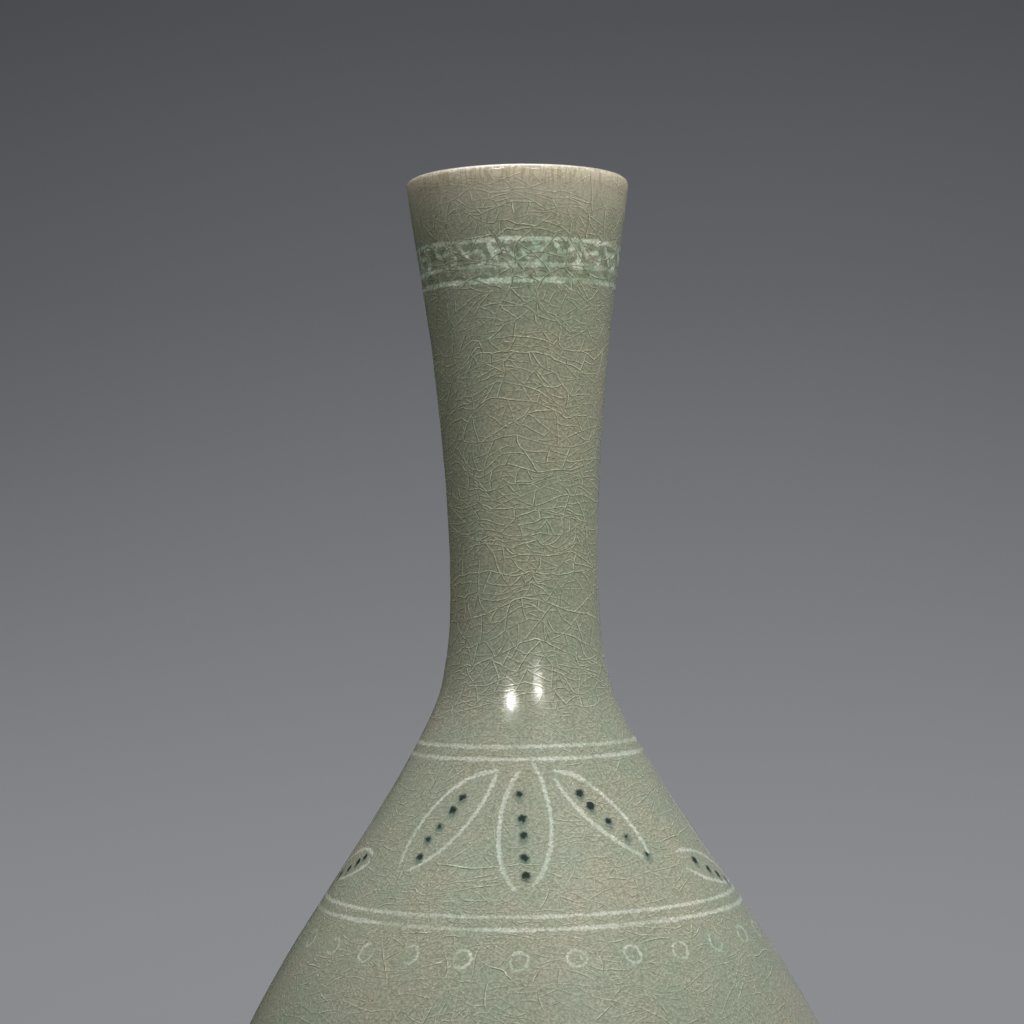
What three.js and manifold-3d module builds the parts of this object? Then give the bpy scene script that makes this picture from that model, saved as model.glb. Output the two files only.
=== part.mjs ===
// Long-necked celadon bottle of gallbladder form: three thrown clay sections, luted edge to edge,
// with white slip inlaid in V-shaped grooves and black slip in small pits. Millimetres, +Z up,
// origin under the middle of the foot, azimuths in degrees from the front (-Y), positive towards +X.

import * as THREE from "three";
import { mergeVertices } from "three/addons/utils/BufferGeometryUtils.js";
import Module from "manifold-3d";

const wasm = await Module();
wasm.setup();

// Foot: a trimmed ring under a rounded base
const FOOT_RADIUS = 46;
const FOOT_HEIGHT = 8;
const FOOT_RING_WIDTH = 6;
const FOOT_RECESS = 5;
const FOOT_BEVEL = 1.2;

// Outline stations from the widest girth up to the mouth. Each gives its rise above the one before
// it, the first above the ground, the outside radius, and the lean: change of radius with height.
const GIRTH = { rise: 108, radius: 86, lean: 0 };
const SHOULDER = { rise: 84, radius: 56.2, lean: -0.645 };
const NECK_ROOT = { rise: 44, radius: 28, lean: -0.56 };
const THROAT = { rise: 16, radius: 20.8, lean: -0.24 };
const WAIST = { rise: 26, radius: 18.3, lean: 0 };
const FLARE = { rise: 51, radius: 21.4, lean: 0.1 };
const MOUTH = { rise: 44.5, radius: 27.4, lean: 0.12 };
const LIP_ROUNDING = 1.5;

// Clay thickness, square to the wall
const FLOOR_WALL = 8;
const GIRTH_WALL = 5;
const ROOT_WALL = 4.6;
const WAIST_WALL = 4;

// Incised lines and dots: width and depth of the slip, and the clearance to the clay round it
const LINE = { width: 1.1, depth: 0.9 };
const FINE_LINE = { width: 0.8, depth: 0.8 };
const DOT = { width: 2.2, depth: 1.2 };
const INLAY_CLEARANCE = 0.3;
const CUT_OVERSHOOT = 1;

// Ring lines: the lower of each pair above its station, the space to its partner, and the three
// lines under the mouth as drops from the top of the lip
const BODY_LINES_ABOVE_SHOULDER = 7.3;
const BODY_LINE_SPACE = 2.6;
const SHOULDER_LINES_BELOW_ROOT = 0.6;
const SHOULDER_LINE_SPACE = 2.8;
const NECK_LINE_DROPS = [27, 23.6, 17.5];

// The neck is luted on this far above the shoulder lines
const NECK_SEAM_ABOVE_LINES = 8.8;

// Running scroll between the upper two neck lines
const SCROLL_WAVES = 16;
const SCROLL_RISE = 1;
const SCROLL_STEPS = 6;

// Leaf sprays, hanging and rising in turn. A leaf runs from an open root to a closed tip: azimuths
// from the middle of the spray, and gaps to the line that it leaves and the line that it nears.
const SPRAY_CENTRES = { front: -0.7, right: 89, back: 179, left: -91 };
const LEAF_ROOT_WIDTH = 2.8;
const LEAF_STEPS = 7;
const HANGING_MIDDLE = { azimuths: [0, 0], gaps: [3, 4.9], halfWidth: 6.1, bow: 0 };
const HANGING_SIDE = { azimuths: [12.6, 42.2], gaps: [3.8, 9.3], halfWidth: 4.7, bow: 2.2 };
const RISING_MIDDLE = { azimuths: [0, 0], gaps: [3.3, 5], halfWidth: 5.4, bow: 0 };
const RISING_SIDE = { azimuths: [5.2, 33], gaps: [3, 23.8], halfWidth: 3.2, bow: 1 };

// Black dots down each middle hanging leaf, evenly from the first to the last share of its length
const DOT_COUNT = 5;
const DOT_SPAN = [0.18, 0.86];
const DOT_SIDES = 6;

// Ring of small stamped circles below the body lines
const CIRCLE_COUNT = 27;
const CIRCLE_START = -2.8;
const CIRCLE_DROP = 6;
const CIRCLE_DIAMETER = 4.1;
const CIRCLE_STEPS = 8;

// Facets round the body and the neck, and along the outside and inside of each section
const BODY_SIDES = 60;
const NECK_SIDES = 40;
const LOWER_STEPS = { outside: 8, inside: 6 };
const UPPER_STEPS = { outside: 12, inside: 6 };
const NECK_STEPS = { outside: 10, inside: 6 };
const LIP_STEPS = 4;

// Heights that follow from the sizes above
const STATIONS = [GIRTH, SHOULDER, NECK_ROOT, THROAT, WAIST, FLARE, MOUTH];
STATIONS.reduce((height, station) => {
  station.height = height + station.rise;
  return station.height;
}, 0);
const LIP_TOP = MOUTH.height + LIP_ROUNDING;
const FLOOR_HEIGHT = FOOT_RECESS + FLOOR_WALL;
const bodyLineLow = SHOULDER.height + BODY_LINES_ABOVE_SHOULDER;
const bodyLines = [bodyLineLow, bodyLineLow + BODY_LINE_SPACE];
const shoulderLineLow = NECK_ROOT.height - SHOULDER_LINES_BELOW_ROOT;
const shoulderLines = [shoulderLineLow, shoulderLineLow + SHOULDER_LINE_SPACE];
const neckLines = NECK_LINE_DROPS.map((drop) => LIP_TOP - drop);
const BODY_SEAM = GIRTH.height;
const NECK_SEAM = shoulderLines[1] + NECK_SEAM_ABOVE_LINES;

// Depth of the ellipse under the girth that passes through the top of the foot
const BASE_DEPTH = (GIRTH.height - FOOT_HEIGHT) / Math.sqrt(1 - (FOOT_RADIUS / GIRTH.radius) ** 2);

const glaze = { color: 0x9a9f88, roughness: 0.3, metalness: 0 };
const whiteSlip = { color: 0xc9d2bd, roughness: 0.35, metalness: 0 };
const blackSlip = { color: 0x2b352d, roughness: 0.35, metalness: 0 };

const vase = new THREE.Group();

function addPiece(name, geometry, finish) {
  const mesh = new THREE.Mesh(geometry, new THREE.MeshStandardMaterial(finish));
  mesh.name = name;
  vase.add(mesh);
}

// Outline of the pot: a quarter ellipse under the girth, smooth curves through the stations above it
function outsideRadius(height) {
  if (height <= GIRTH.height) {
    const drop = Math.min(1, (GIRTH.height - height) / BASE_DEPTH);
    return GIRTH.radius * Math.sqrt(1 - drop * drop);
  }
  const last = STATIONS.length - 2;
  let index = 0;
  while (index < last && height > STATIONS[index + 1].height) {
    index += 1;
  }
  const low = STATIONS[index];
  const high = STATIONS[index + 1];
  const span = high.height - low.height;
  const t = (height - low.height) / span;
  const towardHigh = t * t * (3 - 2 * t);
  const lowLean = t * (1 - t) * (1 - t) * span * low.lean;
  const highLean = t * t * (t - 1) * span * high.lean;
  return low.radius + (high.radius - low.radius) * towardHigh + lowLean + highLean;
}

function outsideLean(height) {
  const step = 0.01;
  return (outsideRadius(height + step) - outsideRadius(height - step)) / (2 * step);
}

// Unit normal of the outline as [radial, vertical]
function outlineNormal(height) {
  const lean = outsideLean(height);
  const length = Math.hypot(1, lean);
  return [1 / length, -lean / length];
}

// A point of the section, sunk square to the wall by depth
function outlinePoint(height, depth = 0) {
  const [radial, vertical] = outlineNormal(height);
  return new THREE.Vector2(outsideRadius(height) - depth * radial, height - depth * vertical);
}

function wallAt(height) {
  const walls = [
    [FLOOR_HEIGHT, FLOOR_WALL],
    [GIRTH.height, GIRTH_WALL],
    [NECK_ROOT.height, ROOT_WALL],
    [WAIST.height, WAIST_WALL],
    [MOUTH.height, 2 * LIP_ROUNDING],
  ];
  let index = 0;
  while (index < walls.length - 2 && height > walls[index + 1][0]) {
    index += 1;
  }
  const [lowHeight, lowWall] = walls[index];
  const [highHeight, highWall] = walls[index + 1];
  return THREE.MathUtils.mapLinear(height, lowHeight, highHeight, lowWall, highWall);
}

function insidePoint(height) {
  return new THREE.Vector2(outsideRadius(height) - wallAt(height) / outlineNormal(height)[0], height);
}

function evenHeights(from, to, steps) {
  const heights = [];
  for (let i = 0; i <= steps; i += 1) {
    heights.push(THREE.MathUtils.lerp(from, to, i / steps));
  }
  return heights;
}

// V section of a slip line or, with the clearance, of the groove that holds it
function slipSection(line) {
  return { halfWidth: line.width / 2, depth: line.depth };
}

function grooveSection(line) {
  const slope = line.width / 2 / line.depth;
  const depth = line.depth + INLAY_CLEARANCE / Math.sin(Math.atan(slope));
  return { halfWidth: slope * depth, depth };
}

// The three corners of a ring line's section, from its lower edge to its upper edge
function notch(height, section) {
  const rise = section.halfWidth * outlineNormal(height)[0];
  return [outlinePoint(height - rise), outlinePoint(height, section.depth), outlinePoint(height + rise)];
}

function lathe(profile, sides) {
  const geometry = new THREE.LatheGeometry(profile, sides);
  geometry.rotateX(Math.PI / 2);
  geometry.deleteAttribute("normal");
  geometry.deleteAttribute("uv");
  return mergeVertices(geometry);
}

function ringLine(height, line, sides) {
  const corners = notch(height, slipSection(line));
  const [lower, bottom, upper] = corners;
  return lathe([lower, upper, bottom, lower.clone()], sides);
}

function toSolid(geometry) {
  const source = geometry.index.array;
  const triangles = [];
  for (let i = 0; i < source.length; i += 3) {
    const [a, b, c] = [source[i], source[i + 1], source[i + 2]];
    if (a !== b && b !== c && c !== a) {
      triangles.push(a, b, c);
    }
  }
  const vertProperties = new Float32Array(geometry.attributes.position.array);
  const triVerts = new Uint32Array(triangles);
  return new wasm.Manifold(new wasm.Mesh({ numProp: 3, vertProperties, triVerts }));
}

function toGeometry(solid) {
  const mesh = solid.getMesh();
  const geometry = new THREE.BufferGeometry();
  geometry.setAttribute("position", new THREE.BufferAttribute(mesh.vertProperties, 3));
  geometry.setIndex(new THREE.BufferAttribute(mesh.triVerts, 1));
  return geometry;
}

// Place on the outside of the pot: the point and its outward normal
function surfacePlace(azimuth, height) {
  const angle = THREE.MathUtils.degToRad(azimuth);
  const around = new THREE.Vector3(Math.sin(angle), -Math.cos(angle), 0);
  const [radial, vertical] = outlineNormal(height);
  const point = around.clone().multiplyScalar(outsideRadius(height)).setZ(height);
  const normal = around.multiplyScalar(radial).setZ(vertical);
  return { point, normal };
}

// Mitred sideways offset at one point of a stroke that runs over the surface
function mitre(before, place, after) {
  const arriving = place.point.clone().sub(before.point);
  const leaving = after.point.clone().sub(place.point);
  if (arriving.lengthSq() === 0) {
    arriving.copy(leaving);
  }
  if (leaving.lengthSq() === 0) {
    leaving.copy(arriving);
  }
  const sideIn = place.normal.clone().cross(arriving).normalize();
  const sideOut = place.normal.clone().cross(leaving).normalize();
  return sideIn.clone().add(sideOut).divideScalar(1 + sideIn.dot(sideOut));
}

// A V-section bar that follows a path of [azimuth, height] over the surface and stands raise above it
function surfaceBar(path, section, raise, closed) {
  const places = path.map(([azimuth, height]) => surfacePlace(azimuth, height));
  const count = places.length;
  const topHalfWidth = section.halfWidth * (1 + raise / section.depth);
  const vertices = [];
  places.forEach((place, i) => {
    const before = closed ? places[(i + count - 1) % count] : places[Math.max(i - 1, 0)];
    const after = closed ? places[(i + 1) % count] : places[Math.min(i + 1, count - 1)];
    const side = mitre(before, place, after).multiplyScalar(topHalfWidth);
    const top = place.point.clone().addScaledVector(place.normal, raise);
    const bottom = place.point.clone().addScaledVector(place.normal, -section.depth);
    vertices.push(top.clone().sub(side), bottom, top.clone().add(side));
  });
  const faces = [];
  const spans = closed ? count : count - 1;
  for (let i = 0; i < spans; i += 1) {
    const here = 3 * i;
    const next = 3 * ((i + 1) % count);
    for (let j = 0; j < 3; j += 1) {
      const k = (j + 1) % 3;
      faces.push(here + j, here + k, next + k, here + j, next + k, next + j);
    }
  }
  if (!closed) {
    const end = 3 * (count - 1);
    faces.push(0, 2, 1, end, end + 1, end + 2);
  }
  const geometry = new THREE.BufferGeometry().setFromPoints(vertices);
  geometry.setIndex(faces);
  return geometry;
}

// Adds one slip stroke and returns the cutter of its groove
function inlayStroke(name, path, line, closed = false) {
  addPiece(name, surfaceBar(path, slipSection(line), 0, closed), whiteSlip);
  return toSolid(surfaceBar(path, grooveSection(line), CUT_OVERSHOOT, closed));
}

function cutGrooves(geometry, cutters) {
  const clay = toSolid(geometry);
  const all = cutters.reduce((joined, cutter) => joined.add(cutter));
  return toGeometry(clay.subtract(all));
}

// A leaf's own frame: returns the place, as [azimuth, height], at a share of its length and a distance
// off its chord
function leafFrame(centre, mirror, leaf, ends) {
  const [rootAzimuth, tipAzimuth] = leaf.azimuths;
  const [rootHeight, tipHeight] = ends;
  const middle = (rootHeight + tipHeight) / 2;
  const perDegree = THREE.MathUtils.degToRad(outsideRadius(middle));
  const fall = 1 / outlineNormal(middle)[0];
  const along = new THREE.Vector2((tipAzimuth - rootAzimuth) * perDegree, (tipHeight - rootHeight) * fall);
  const across = new THREE.Vector2(-along.y, along.x).normalize();
  return (t, offset) => {
    const bowed = offset + leaf.bow * Math.sin(Math.PI * t);
    const place = along.clone().multiplyScalar(t).addScaledVector(across, bowed);
    return [centre + mirror * (rootAzimuth + place.x / perDegree), rootHeight + place.y / fall];
  };
}

// Outline of one leaf: down its left side to the tip and back up its right side
function leafPath(leaf, frame, mirror) {
  const start = Math.asin(LEAF_ROOT_WIDTH / 2 / leaf.halfWidth) / Math.PI;
  const edge = (t, sign) => {
    const swell = Math.sin(Math.PI * (start + (1 - start) * t));
    return frame(t, sign * leaf.halfWidth * swell);
  };
  const path = [];
  for (let i = 0; i < LEAF_STEPS; i += 1) {
    path.push(edge(i / LEAF_STEPS, -1));
  }
  for (let i = LEAF_STEPS; i >= 0; i -= 1) {
    path.push(edge(i / LEAF_STEPS, 1));
  }
  return mirror > 0 ? path : path.reverse();
}

// A plug that narrows downwards, sunk square to the wall, with its face raised above the surface
function dotPlug([azimuth, height], radius, depth, raise) {
  const { point, normal } = surfacePlace(azimuth, height);
  const slope = radius / (2 * depth);
  const geometry = new THREE.CylinderGeometry(radius + slope * raise, radius / 2, depth + raise, DOT_SIDES);
  geometry.translate(0, (raise - depth) / 2, 0);
  const upright = new THREE.Quaternion().setFromUnitVectors(new THREE.Vector3(0, 1, 0), normal);
  geometry.applyQuaternion(upright).translate(point.x, point.y, point.z);
  geometry.deleteAttribute("normal");
  geometry.deleteAttribute("uv");
  return mergeVertices(geometry);
}

// Adds the dots of a leaf and returns the cutters of their pits
function dotRow(place, frame) {
  const radius = DOT.width / 2;
  const pits = [];
  for (let i = 0; i < DOT_COUNT; i += 1) {
    const share = THREE.MathUtils.lerp(DOT_SPAN[0], DOT_SPAN[1], i / (DOT_COUNT - 1));
    const middle = frame(share, 0);
    addPiece(`dot_${place}_${i + 1}`, dotPlug(middle, radius, DOT.depth, 0), blackSlip);
    const pit = dotPlug(middle, radius + INLAY_CLEARANCE, DOT.depth + INLAY_CLEARANCE, CUT_OVERSHOOT);
    pits.push(toSolid(pit));
  }
  return pits;
}

// Three leaves on one stalk, hanging from the shoulder lines or rising from the body lines
function leafSpray(place, middleLeaf, sideLeaf) {
  const hangs = middleLeaf === HANGING_MIDDLE;
  const addLeaf = (side, mirror, leaf) => {
    const [rootGap, tipGap] = leaf.gaps;
    const ends = hangs
      ? [shoulderLines[0] - rootGap, bodyLines[1] + tipGap]
      : [bodyLines[1] + rootGap, shoulderLines[0] - tipGap];
    const frame = leafFrame(SPRAY_CENTRES[place], mirror, leaf, ends);
    const groove = inlayStroke(`leaf_${place}_${side}`, leafPath(leaf, frame, mirror), LINE);
    return leaf === HANGING_MIDDLE ? [groove, ...dotRow(place, frame)] : [groove];
  };
  return [
    ...addLeaf("middle", 1, middleLeaf),
    ...addLeaf("east", 1, sideLeaf),
    ...addLeaf("west", -1, sideLeaf),
  ];
}

function circlePath(azimuth, height) {
  const perDegree = THREE.MathUtils.degToRad(outsideRadius(height));
  const upright = outlineNormal(height)[0];
  const path = [];
  for (let i = 0; i < CIRCLE_STEPS; i += 1) {
    const angle = (2 * Math.PI * i) / CIRCLE_STEPS;
    const across = (CIRCLE_DIAMETER / 2) * Math.cos(angle);
    const up = (CIRCLE_DIAMETER / 2) * Math.sin(angle);
    path.push([azimuth + across / perDegree, height + up * upright]);
  }
  return path;
}

function circleRow() {
  const height = bodyLines[0] - CIRCLE_DROP;
  const cutters = [];
  for (let i = 0; i < CIRCLE_COUNT; i += 1) {
    const azimuth = CIRCLE_START + (360 * i) / CIRCLE_COUNT;
    const name = `circle_${String(i + 1).padStart(2, "0")}`;
    cutters.push(inlayStroke(name, circlePath(azimuth, height), FINE_LINE, true));
  }
  return cutters;
}

function scrollPath(height) {
  const steps = SCROLL_WAVES * SCROLL_STEPS;
  const path = [];
  for (let i = 0; i < steps; i += 1) {
    const phase = (2 * Math.PI * i) / SCROLL_STEPS;
    path.push([(360 * i) / steps, height + SCROLL_RISE * Math.sin(phase)]);
  }
  return path;
}

// Lower section: foot ring, base and the lower half of the belly
function lowerBody() {
  const ringInside = FOOT_RADIUS - FOOT_RING_WIDTH;
  const profile = [
    new THREE.Vector2(0, FOOT_RECESS),
    new THREE.Vector2(ringInside - FOOT_BEVEL, FOOT_RECESS),
    new THREE.Vector2(ringInside, 0),
    new THREE.Vector2(FOOT_RADIUS - FOOT_BEVEL, 0),
    new THREE.Vector2(FOOT_RADIUS, FOOT_BEVEL),
  ];
  const outside = evenHeights(FOOT_HEIGHT, BODY_SEAM, LOWER_STEPS.outside);
  const inside = evenHeights(BODY_SEAM, FLOOR_HEIGHT, LOWER_STEPS.inside);
  outside.forEach((height) => profile.push(new THREE.Vector2(outsideRadius(height), height)));
  profile.push(...inside.map(insidePoint));
  profile.push(new THREE.Vector2(0, FLOOR_HEIGHT));
  return lathe(profile, BODY_SIDES);
}

// A section open at both ends: up the outside with its ring grooves, then down the inside
function sleeve(outsideHeights, grooves, insideHeights, rim, sides) {
  const groove = grooveSection(LINE);
  const clear = (height) => grooves.every((at) => Math.abs(at - height) > 2 * groove.halfWidth);
  const outside = outsideHeights.filter(clear).map((height) => [outlinePoint(height)]);
  const notches = grooves.map((height) => notch(height, groove));
  const profile = [...outside, ...notches].sort((a, b) => a[0].y - b[0].y).flat();
  profile.push(...rim);
  profile.push(...insideHeights.map(insidePoint));
  profile.push(profile[0].clone());
  return lathe(profile, sides);
}

// Upper section: the shoulder, from the girth to the root of the neck
function upperBody() {
  const outside = evenHeights(BODY_SEAM, NECK_SEAM, UPPER_STEPS.outside);
  const inside = evenHeights(NECK_SEAM, BODY_SEAM, UPPER_STEPS.inside);
  return sleeve(outside, [...bodyLines, ...shoulderLines], inside, [], BODY_SIDES);
}

// Neck section with the flared mouth and its rounded lip
function neck() {
  const outside = evenHeights(NECK_SEAM, MOUTH.height, NECK_STEPS.outside);
  const inside = evenHeights(MOUTH.height, NECK_SEAM, NECK_STEPS.inside);
  const rim = [];
  for (let i = 1; i < LIP_STEPS; i += 1) {
    const angle = (Math.PI * i) / LIP_STEPS;
    const radius = MOUTH.radius - LIP_ROUNDING + LIP_ROUNDING * Math.cos(angle);
    rim.push(new THREE.Vector2(radius, MOUTH.height + LIP_ROUNDING * Math.sin(angle)));
  }
  return sleeve(outside, neckLines, inside, rim, NECK_SIDES);
}

addPiece("lower_body", lowerBody(), glaze);

const bodyCutters = [
  ...leafSpray("front", HANGING_MIDDLE, HANGING_SIDE),
  ...leafSpray("right", RISING_MIDDLE, RISING_SIDE),
  ...leafSpray("back", HANGING_MIDDLE, HANGING_SIDE),
  ...leafSpray("left", RISING_MIDDLE, RISING_SIDE),
  ...circleRow(),
];
addPiece("upper_body", cutGrooves(upperBody(), bodyCutters), glaze);

const scrollHeight = (neckLines[1] + neckLines[2]) / 2;
const scrollCutter = inlayStroke("neck_scroll", scrollPath(scrollHeight), FINE_LINE, true);
addPiece("neck", cutGrooves(neck(), [scrollCutter]), glaze);

function ringLines(place, heights, names, sides) {
  heights.forEach((height, i) => {
    addPiece(`${place}_line_${names[i]}`, ringLine(height, LINE, sides), whiteSlip);
  });
}

ringLines("body", bodyLines, ["lower", "upper"], BODY_SIDES);
ringLines("shoulder", shoulderLines, ["lower", "upper"], BODY_SIDES);
ringLines("neck", neckLines, ["lower", "middle", "upper"], NECK_SIDES);

export default vase;
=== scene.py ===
import math
import random

import bpy
import numpy as np
from mathutils import Matrix, Vector
from mathutils.kdtree import KDTree


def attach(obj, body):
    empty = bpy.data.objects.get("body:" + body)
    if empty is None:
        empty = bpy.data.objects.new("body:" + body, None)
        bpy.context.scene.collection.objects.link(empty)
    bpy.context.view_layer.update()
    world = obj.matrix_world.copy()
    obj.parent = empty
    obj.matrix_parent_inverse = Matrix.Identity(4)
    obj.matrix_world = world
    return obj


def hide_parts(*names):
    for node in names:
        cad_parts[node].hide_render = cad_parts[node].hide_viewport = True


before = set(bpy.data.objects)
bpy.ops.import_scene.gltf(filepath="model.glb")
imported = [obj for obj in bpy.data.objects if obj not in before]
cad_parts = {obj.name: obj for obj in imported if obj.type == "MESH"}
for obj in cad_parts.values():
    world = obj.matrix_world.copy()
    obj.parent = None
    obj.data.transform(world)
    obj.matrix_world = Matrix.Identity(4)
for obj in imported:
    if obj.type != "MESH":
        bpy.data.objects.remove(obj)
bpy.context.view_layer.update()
scene = bpy.context.scene
scene.view_settings.view_transform = "Standard"

# The camera looks at the neck and the shoulder from 0.6 m away, level with the narrowest place of
# the neck and turned up a little. A slight roll tips the mouth of the vase to the left.
CAMERA_PLACE = (-0.0027, -0.595, 0.2802)
CAMERA_PITCH = 1.3
CAMERA_ROLL = 1.0
CAMERA_FIELD = 23.8


def placed(name, data):
    """An object with that data, put into the scene."""
    thing = bpy.data.objects.new(name, data)
    scene.collection.objects.link(thing)
    return thing


camera = placed("camera", bpy.data.cameras.new("camera"))
camera.data.angle = math.radians(CAMERA_FIELD)
camera.location = CAMERA_PLACE
pitch = Matrix.Rotation(math.radians(90 + CAMERA_PITCH), 3, "X")
roll = Matrix.Rotation(math.radians(-CAMERA_ROLL), 3, "Z")
camera.rotation_euler = (pitch @ roll).to_euler()
scene.camera = camera

# Soft studio light: a ring of five boxes overhead and a key box at the front right. Two small boxes in
# front, narrowed to a beam, leave only the pair of glints where the neck leaves the shoulder.
LIT_POINT = Vector((0, 0, 0.26))
LIGHT_GREY = (1.0, 0.995, 0.985)
GLINT_SPREAD = 12
AIR_COLOUR = (0.9, 0.95, 1.0, 1)
AIR_STRENGTH = 0.01
# degrees round from the front and watts of each box overhead
OVERHEAD_BOXES = {
    "left_back": (-150, 4.6),
    "left": (-90, 2.9),
    "front": (-30, 1.9),
    "right": (90, 1.8),
    "right_back": (150, 4.4),
}


def soft_box(name, azimuth, elevation, distance, size, power, mirrored=True, lighting=True):
    """A light box aimed at the lit point from angles in degrees, at a distance in metres."""
    lamp = placed(name, bpy.data.lights.new(name, "AREA"))
    lamp.data.shape = "RECTANGLE"
    lamp.data.size, lamp.data.size_y = size
    lamp.data.energy = power
    lamp.data.color = LIGHT_GREY
    lamp.visible_camera = False
    lamp.visible_glossy = mirrored
    lamp.visible_diffuse = lighting
    around = math.radians(azimuth)
    up = math.radians(elevation)
    away = Vector((math.sin(around) * math.cos(up), -math.cos(around) * math.cos(up), math.sin(up)))
    lamp.location = LIT_POINT + away * distance
    lamp.rotation_euler = away.to_track_quat("Z", "Y").to_euler()
    return lamp


for side, (azimuth, power) in OVERHEAD_BOXES.items():
    soft_box("overhead_" + side, azimuth, 72, 1.1, (0.7, 0.7), power, mirrored=side != "front")
soft_box("key_box", 32, 45, 1.15, (0.6, 0.6), 9.0, mirrored=False)
left_glint = soft_box("left_glint_box", -22, 34, 0.9, (0.09, 0.18), 0.026, lighting=False)
right_glint = soft_box("right_glint_box", 17, 27, 0.9, (0.08, 0.14), 0.014, lighting=False)
for glint_box in (left_glint, right_glint):
    glint_box.data.spread = math.radians(GLINT_SPREAD)

scene.world = bpy.data.worlds.new("studio_air")
scene.world.use_nodes = True
air = scene.world.node_tree.nodes["Background"]
air.inputs["Color"].default_value = AIR_COLOUR
air.inputs["Strength"].default_value = AIR_STRENGTH

# The lower body is the bottom half of the belly, thrown in one piece with a thick floor, then
# turned over and cut to a low foot ring. The glaze runs over the foot and stops at its resting face.
MM = 0.001
SIDES = 256
ROW = 1.5
SMOOTH_ANGLE = 40
FOOT_RADIUS = 46
FOOT_HEIGHT = 8
FOOT_RING_WIDTH = 6
FOOT_RECESS = 5
FOOT_BEVEL = 1.2
RECESS_ROUNDING = 2
RECESS_INSET = 3.2
GROOVE_RADIUS = 0.8
BARE_HEIGHT = 0.45
FLOOR_HEIGHT = 13
FLOOR_FLAT = 30
FLOOR_CORNER = 19
GIRTH_RADIUS = 86
GIRTH_HEIGHT = 108
BASE_DEPTH = 118.36
MOUTH_HEIGHT = 373.5
BODY_SEAM = GIRTH_HEIGHT
NECK_SEAM = 247
SEAM_SHARE = 0.08
# height, radius and lean of the outline, from the girth up to the mouth
STATIONS = np.array([
    (GIRTH_HEIGHT, GIRTH_RADIUS, 0),
    (192, 56.2, -0.645),
    (236, 28, -0.56),
    (252, 20.8, -0.24),
    (278, 18.3, 0),
    (329, 21.4, 0.1),
    (MOUTH_HEIGHT, 27.4, 0.12),
])
WALL_HEIGHTS = (FLOOR_HEIGHT, GIRTH_HEIGHT, 236, 278, MOUTH_HEIGHT)
WALL_WIDTHS = (8, 5, 4.6, 4, 3)
# mm that throwing draws the skin in: everywhere, as an oval, as finger rings, and down at the lip
DRAWN_IN = 0.15
OVAL = 0.08
FINGER_RINGS = 0.03
FINGER_RING_RISE = 2.7
LIP_SAG = 0.25


def ease(value, low, high):
    """0 below low, 1 above high and a smooth rise between them."""
    share = np.clip((np.asarray(value, float) - low) / (high - low), 0, 1)
    return share * share * (3 - 2 * share)


def outline(height):
    """Radius of the outside at a height, both in mm."""
    height = np.asarray(height, float)
    below = np.clip((GIRTH_HEIGHT - height) / BASE_DEPTH, 0, 1)
    base = GIRTH_RADIUS * np.sqrt(1 - below ** 2)
    span = np.clip(np.searchsorted(STATIONS[:, 0], height) - 1, 0, len(STATIONS) - 2)
    low, high = STATIONS[span], STATIONS[span + 1]
    rise = high[..., 0] - low[..., 0]
    t = (height - low[..., 0]) / rise
    from_low = (2 * t ** 3 - 3 * t ** 2 + 1) * low[..., 1] + (t ** 3 - 2 * t ** 2 + t) * rise * low[..., 2]
    from_high = (3 * t ** 2 - 2 * t ** 3) * high[..., 1] + (t ** 3 - t ** 2) * rise * high[..., 2]
    return np.where(height < GIRTH_HEIGHT, base, from_low + from_high)


def lean(height):
    """How fast the outside widens with height."""
    return (outline(np.asarray(height) + 0.01) - outline(np.asarray(height) - 0.01)) / 0.02


def slant(height):
    """How long the skin is over one mm of height."""
    return np.sqrt(1 + lean(height) ** 2)


def inside(height):
    """Radius of the inside of the wall at a height."""
    return outline(height) - np.interp(height, WALL_HEIGHTS, WALL_WIDTHS) * slant(height)


def thrown(points):
    """Nominal points in mm, drawn in by the slight unevenness that a thrower's hands leave, in metres."""
    x, y, z = np.asarray(points, float).T
    radius = np.hypot(x, y)
    angle = np.arctan2(y, x)
    dip = DRAWN_IN + OVAL * np.cos(2 * angle + 0.7) + FINGER_RINGS * np.sin(z / FINGER_RING_RISE + angle)
    keep = 1 - dip * ease(radius, 1, 9) / np.maximum(radius, 1)
    sag = LIP_SAG * (0.5 + 0.5 * np.cos(angle - 1)) * ease(z, 360, 375)
    return np.stack([x * keep, y * keep, z - sag], 1) * MM


def way_along(points):
    """How far along the line through (x, y) points each of them lies."""
    return np.concatenate([[0], np.cumsum(np.hypot(*np.diff(points, axis=0).T))])


def recut(points, count):
    """That many points at even steps along the line through points."""
    run = way_along(points)
    at = np.linspace(0, run[-1], count)
    return np.stack([np.interp(at, run, values) for values in points.T], 1)


def even(points, step):
    """The same line through points, cut into equal steps of about that length."""
    points = np.array(points, float)
    return recut(points, max(2, round(way_along(points)[-1] / step) + 1))


def wall_line(radius_at, low, high, step):
    """Even points (radius, height) up a wall whose radius a function gives."""
    height = np.linspace(low, high, 4 * int(high - low) + 2)
    return even(np.stack([radius_at(height), height], 1), step)


def arc(centre, radius, start, end, steps):
    """Points (radius, height) on an arc, whose angles are in degrees."""
    turn = np.radians(np.linspace(start, end, steps + 1))
    return np.stack([centre[0] + radius * np.cos(turn), centre[1] + radius * np.sin(turn)], 1)


def near_seam(line, at_start):
    """The line with one more point close to its seam end, which keeps the shading level across the seam."""
    first, second = (line[0], line[1]) if at_start else (line[-1], line[-2])
    where = 1 if at_start else len(line) - 1
    return np.insert(line, where, first + (second - first) * SEAM_SHARE, axis=0)


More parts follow.
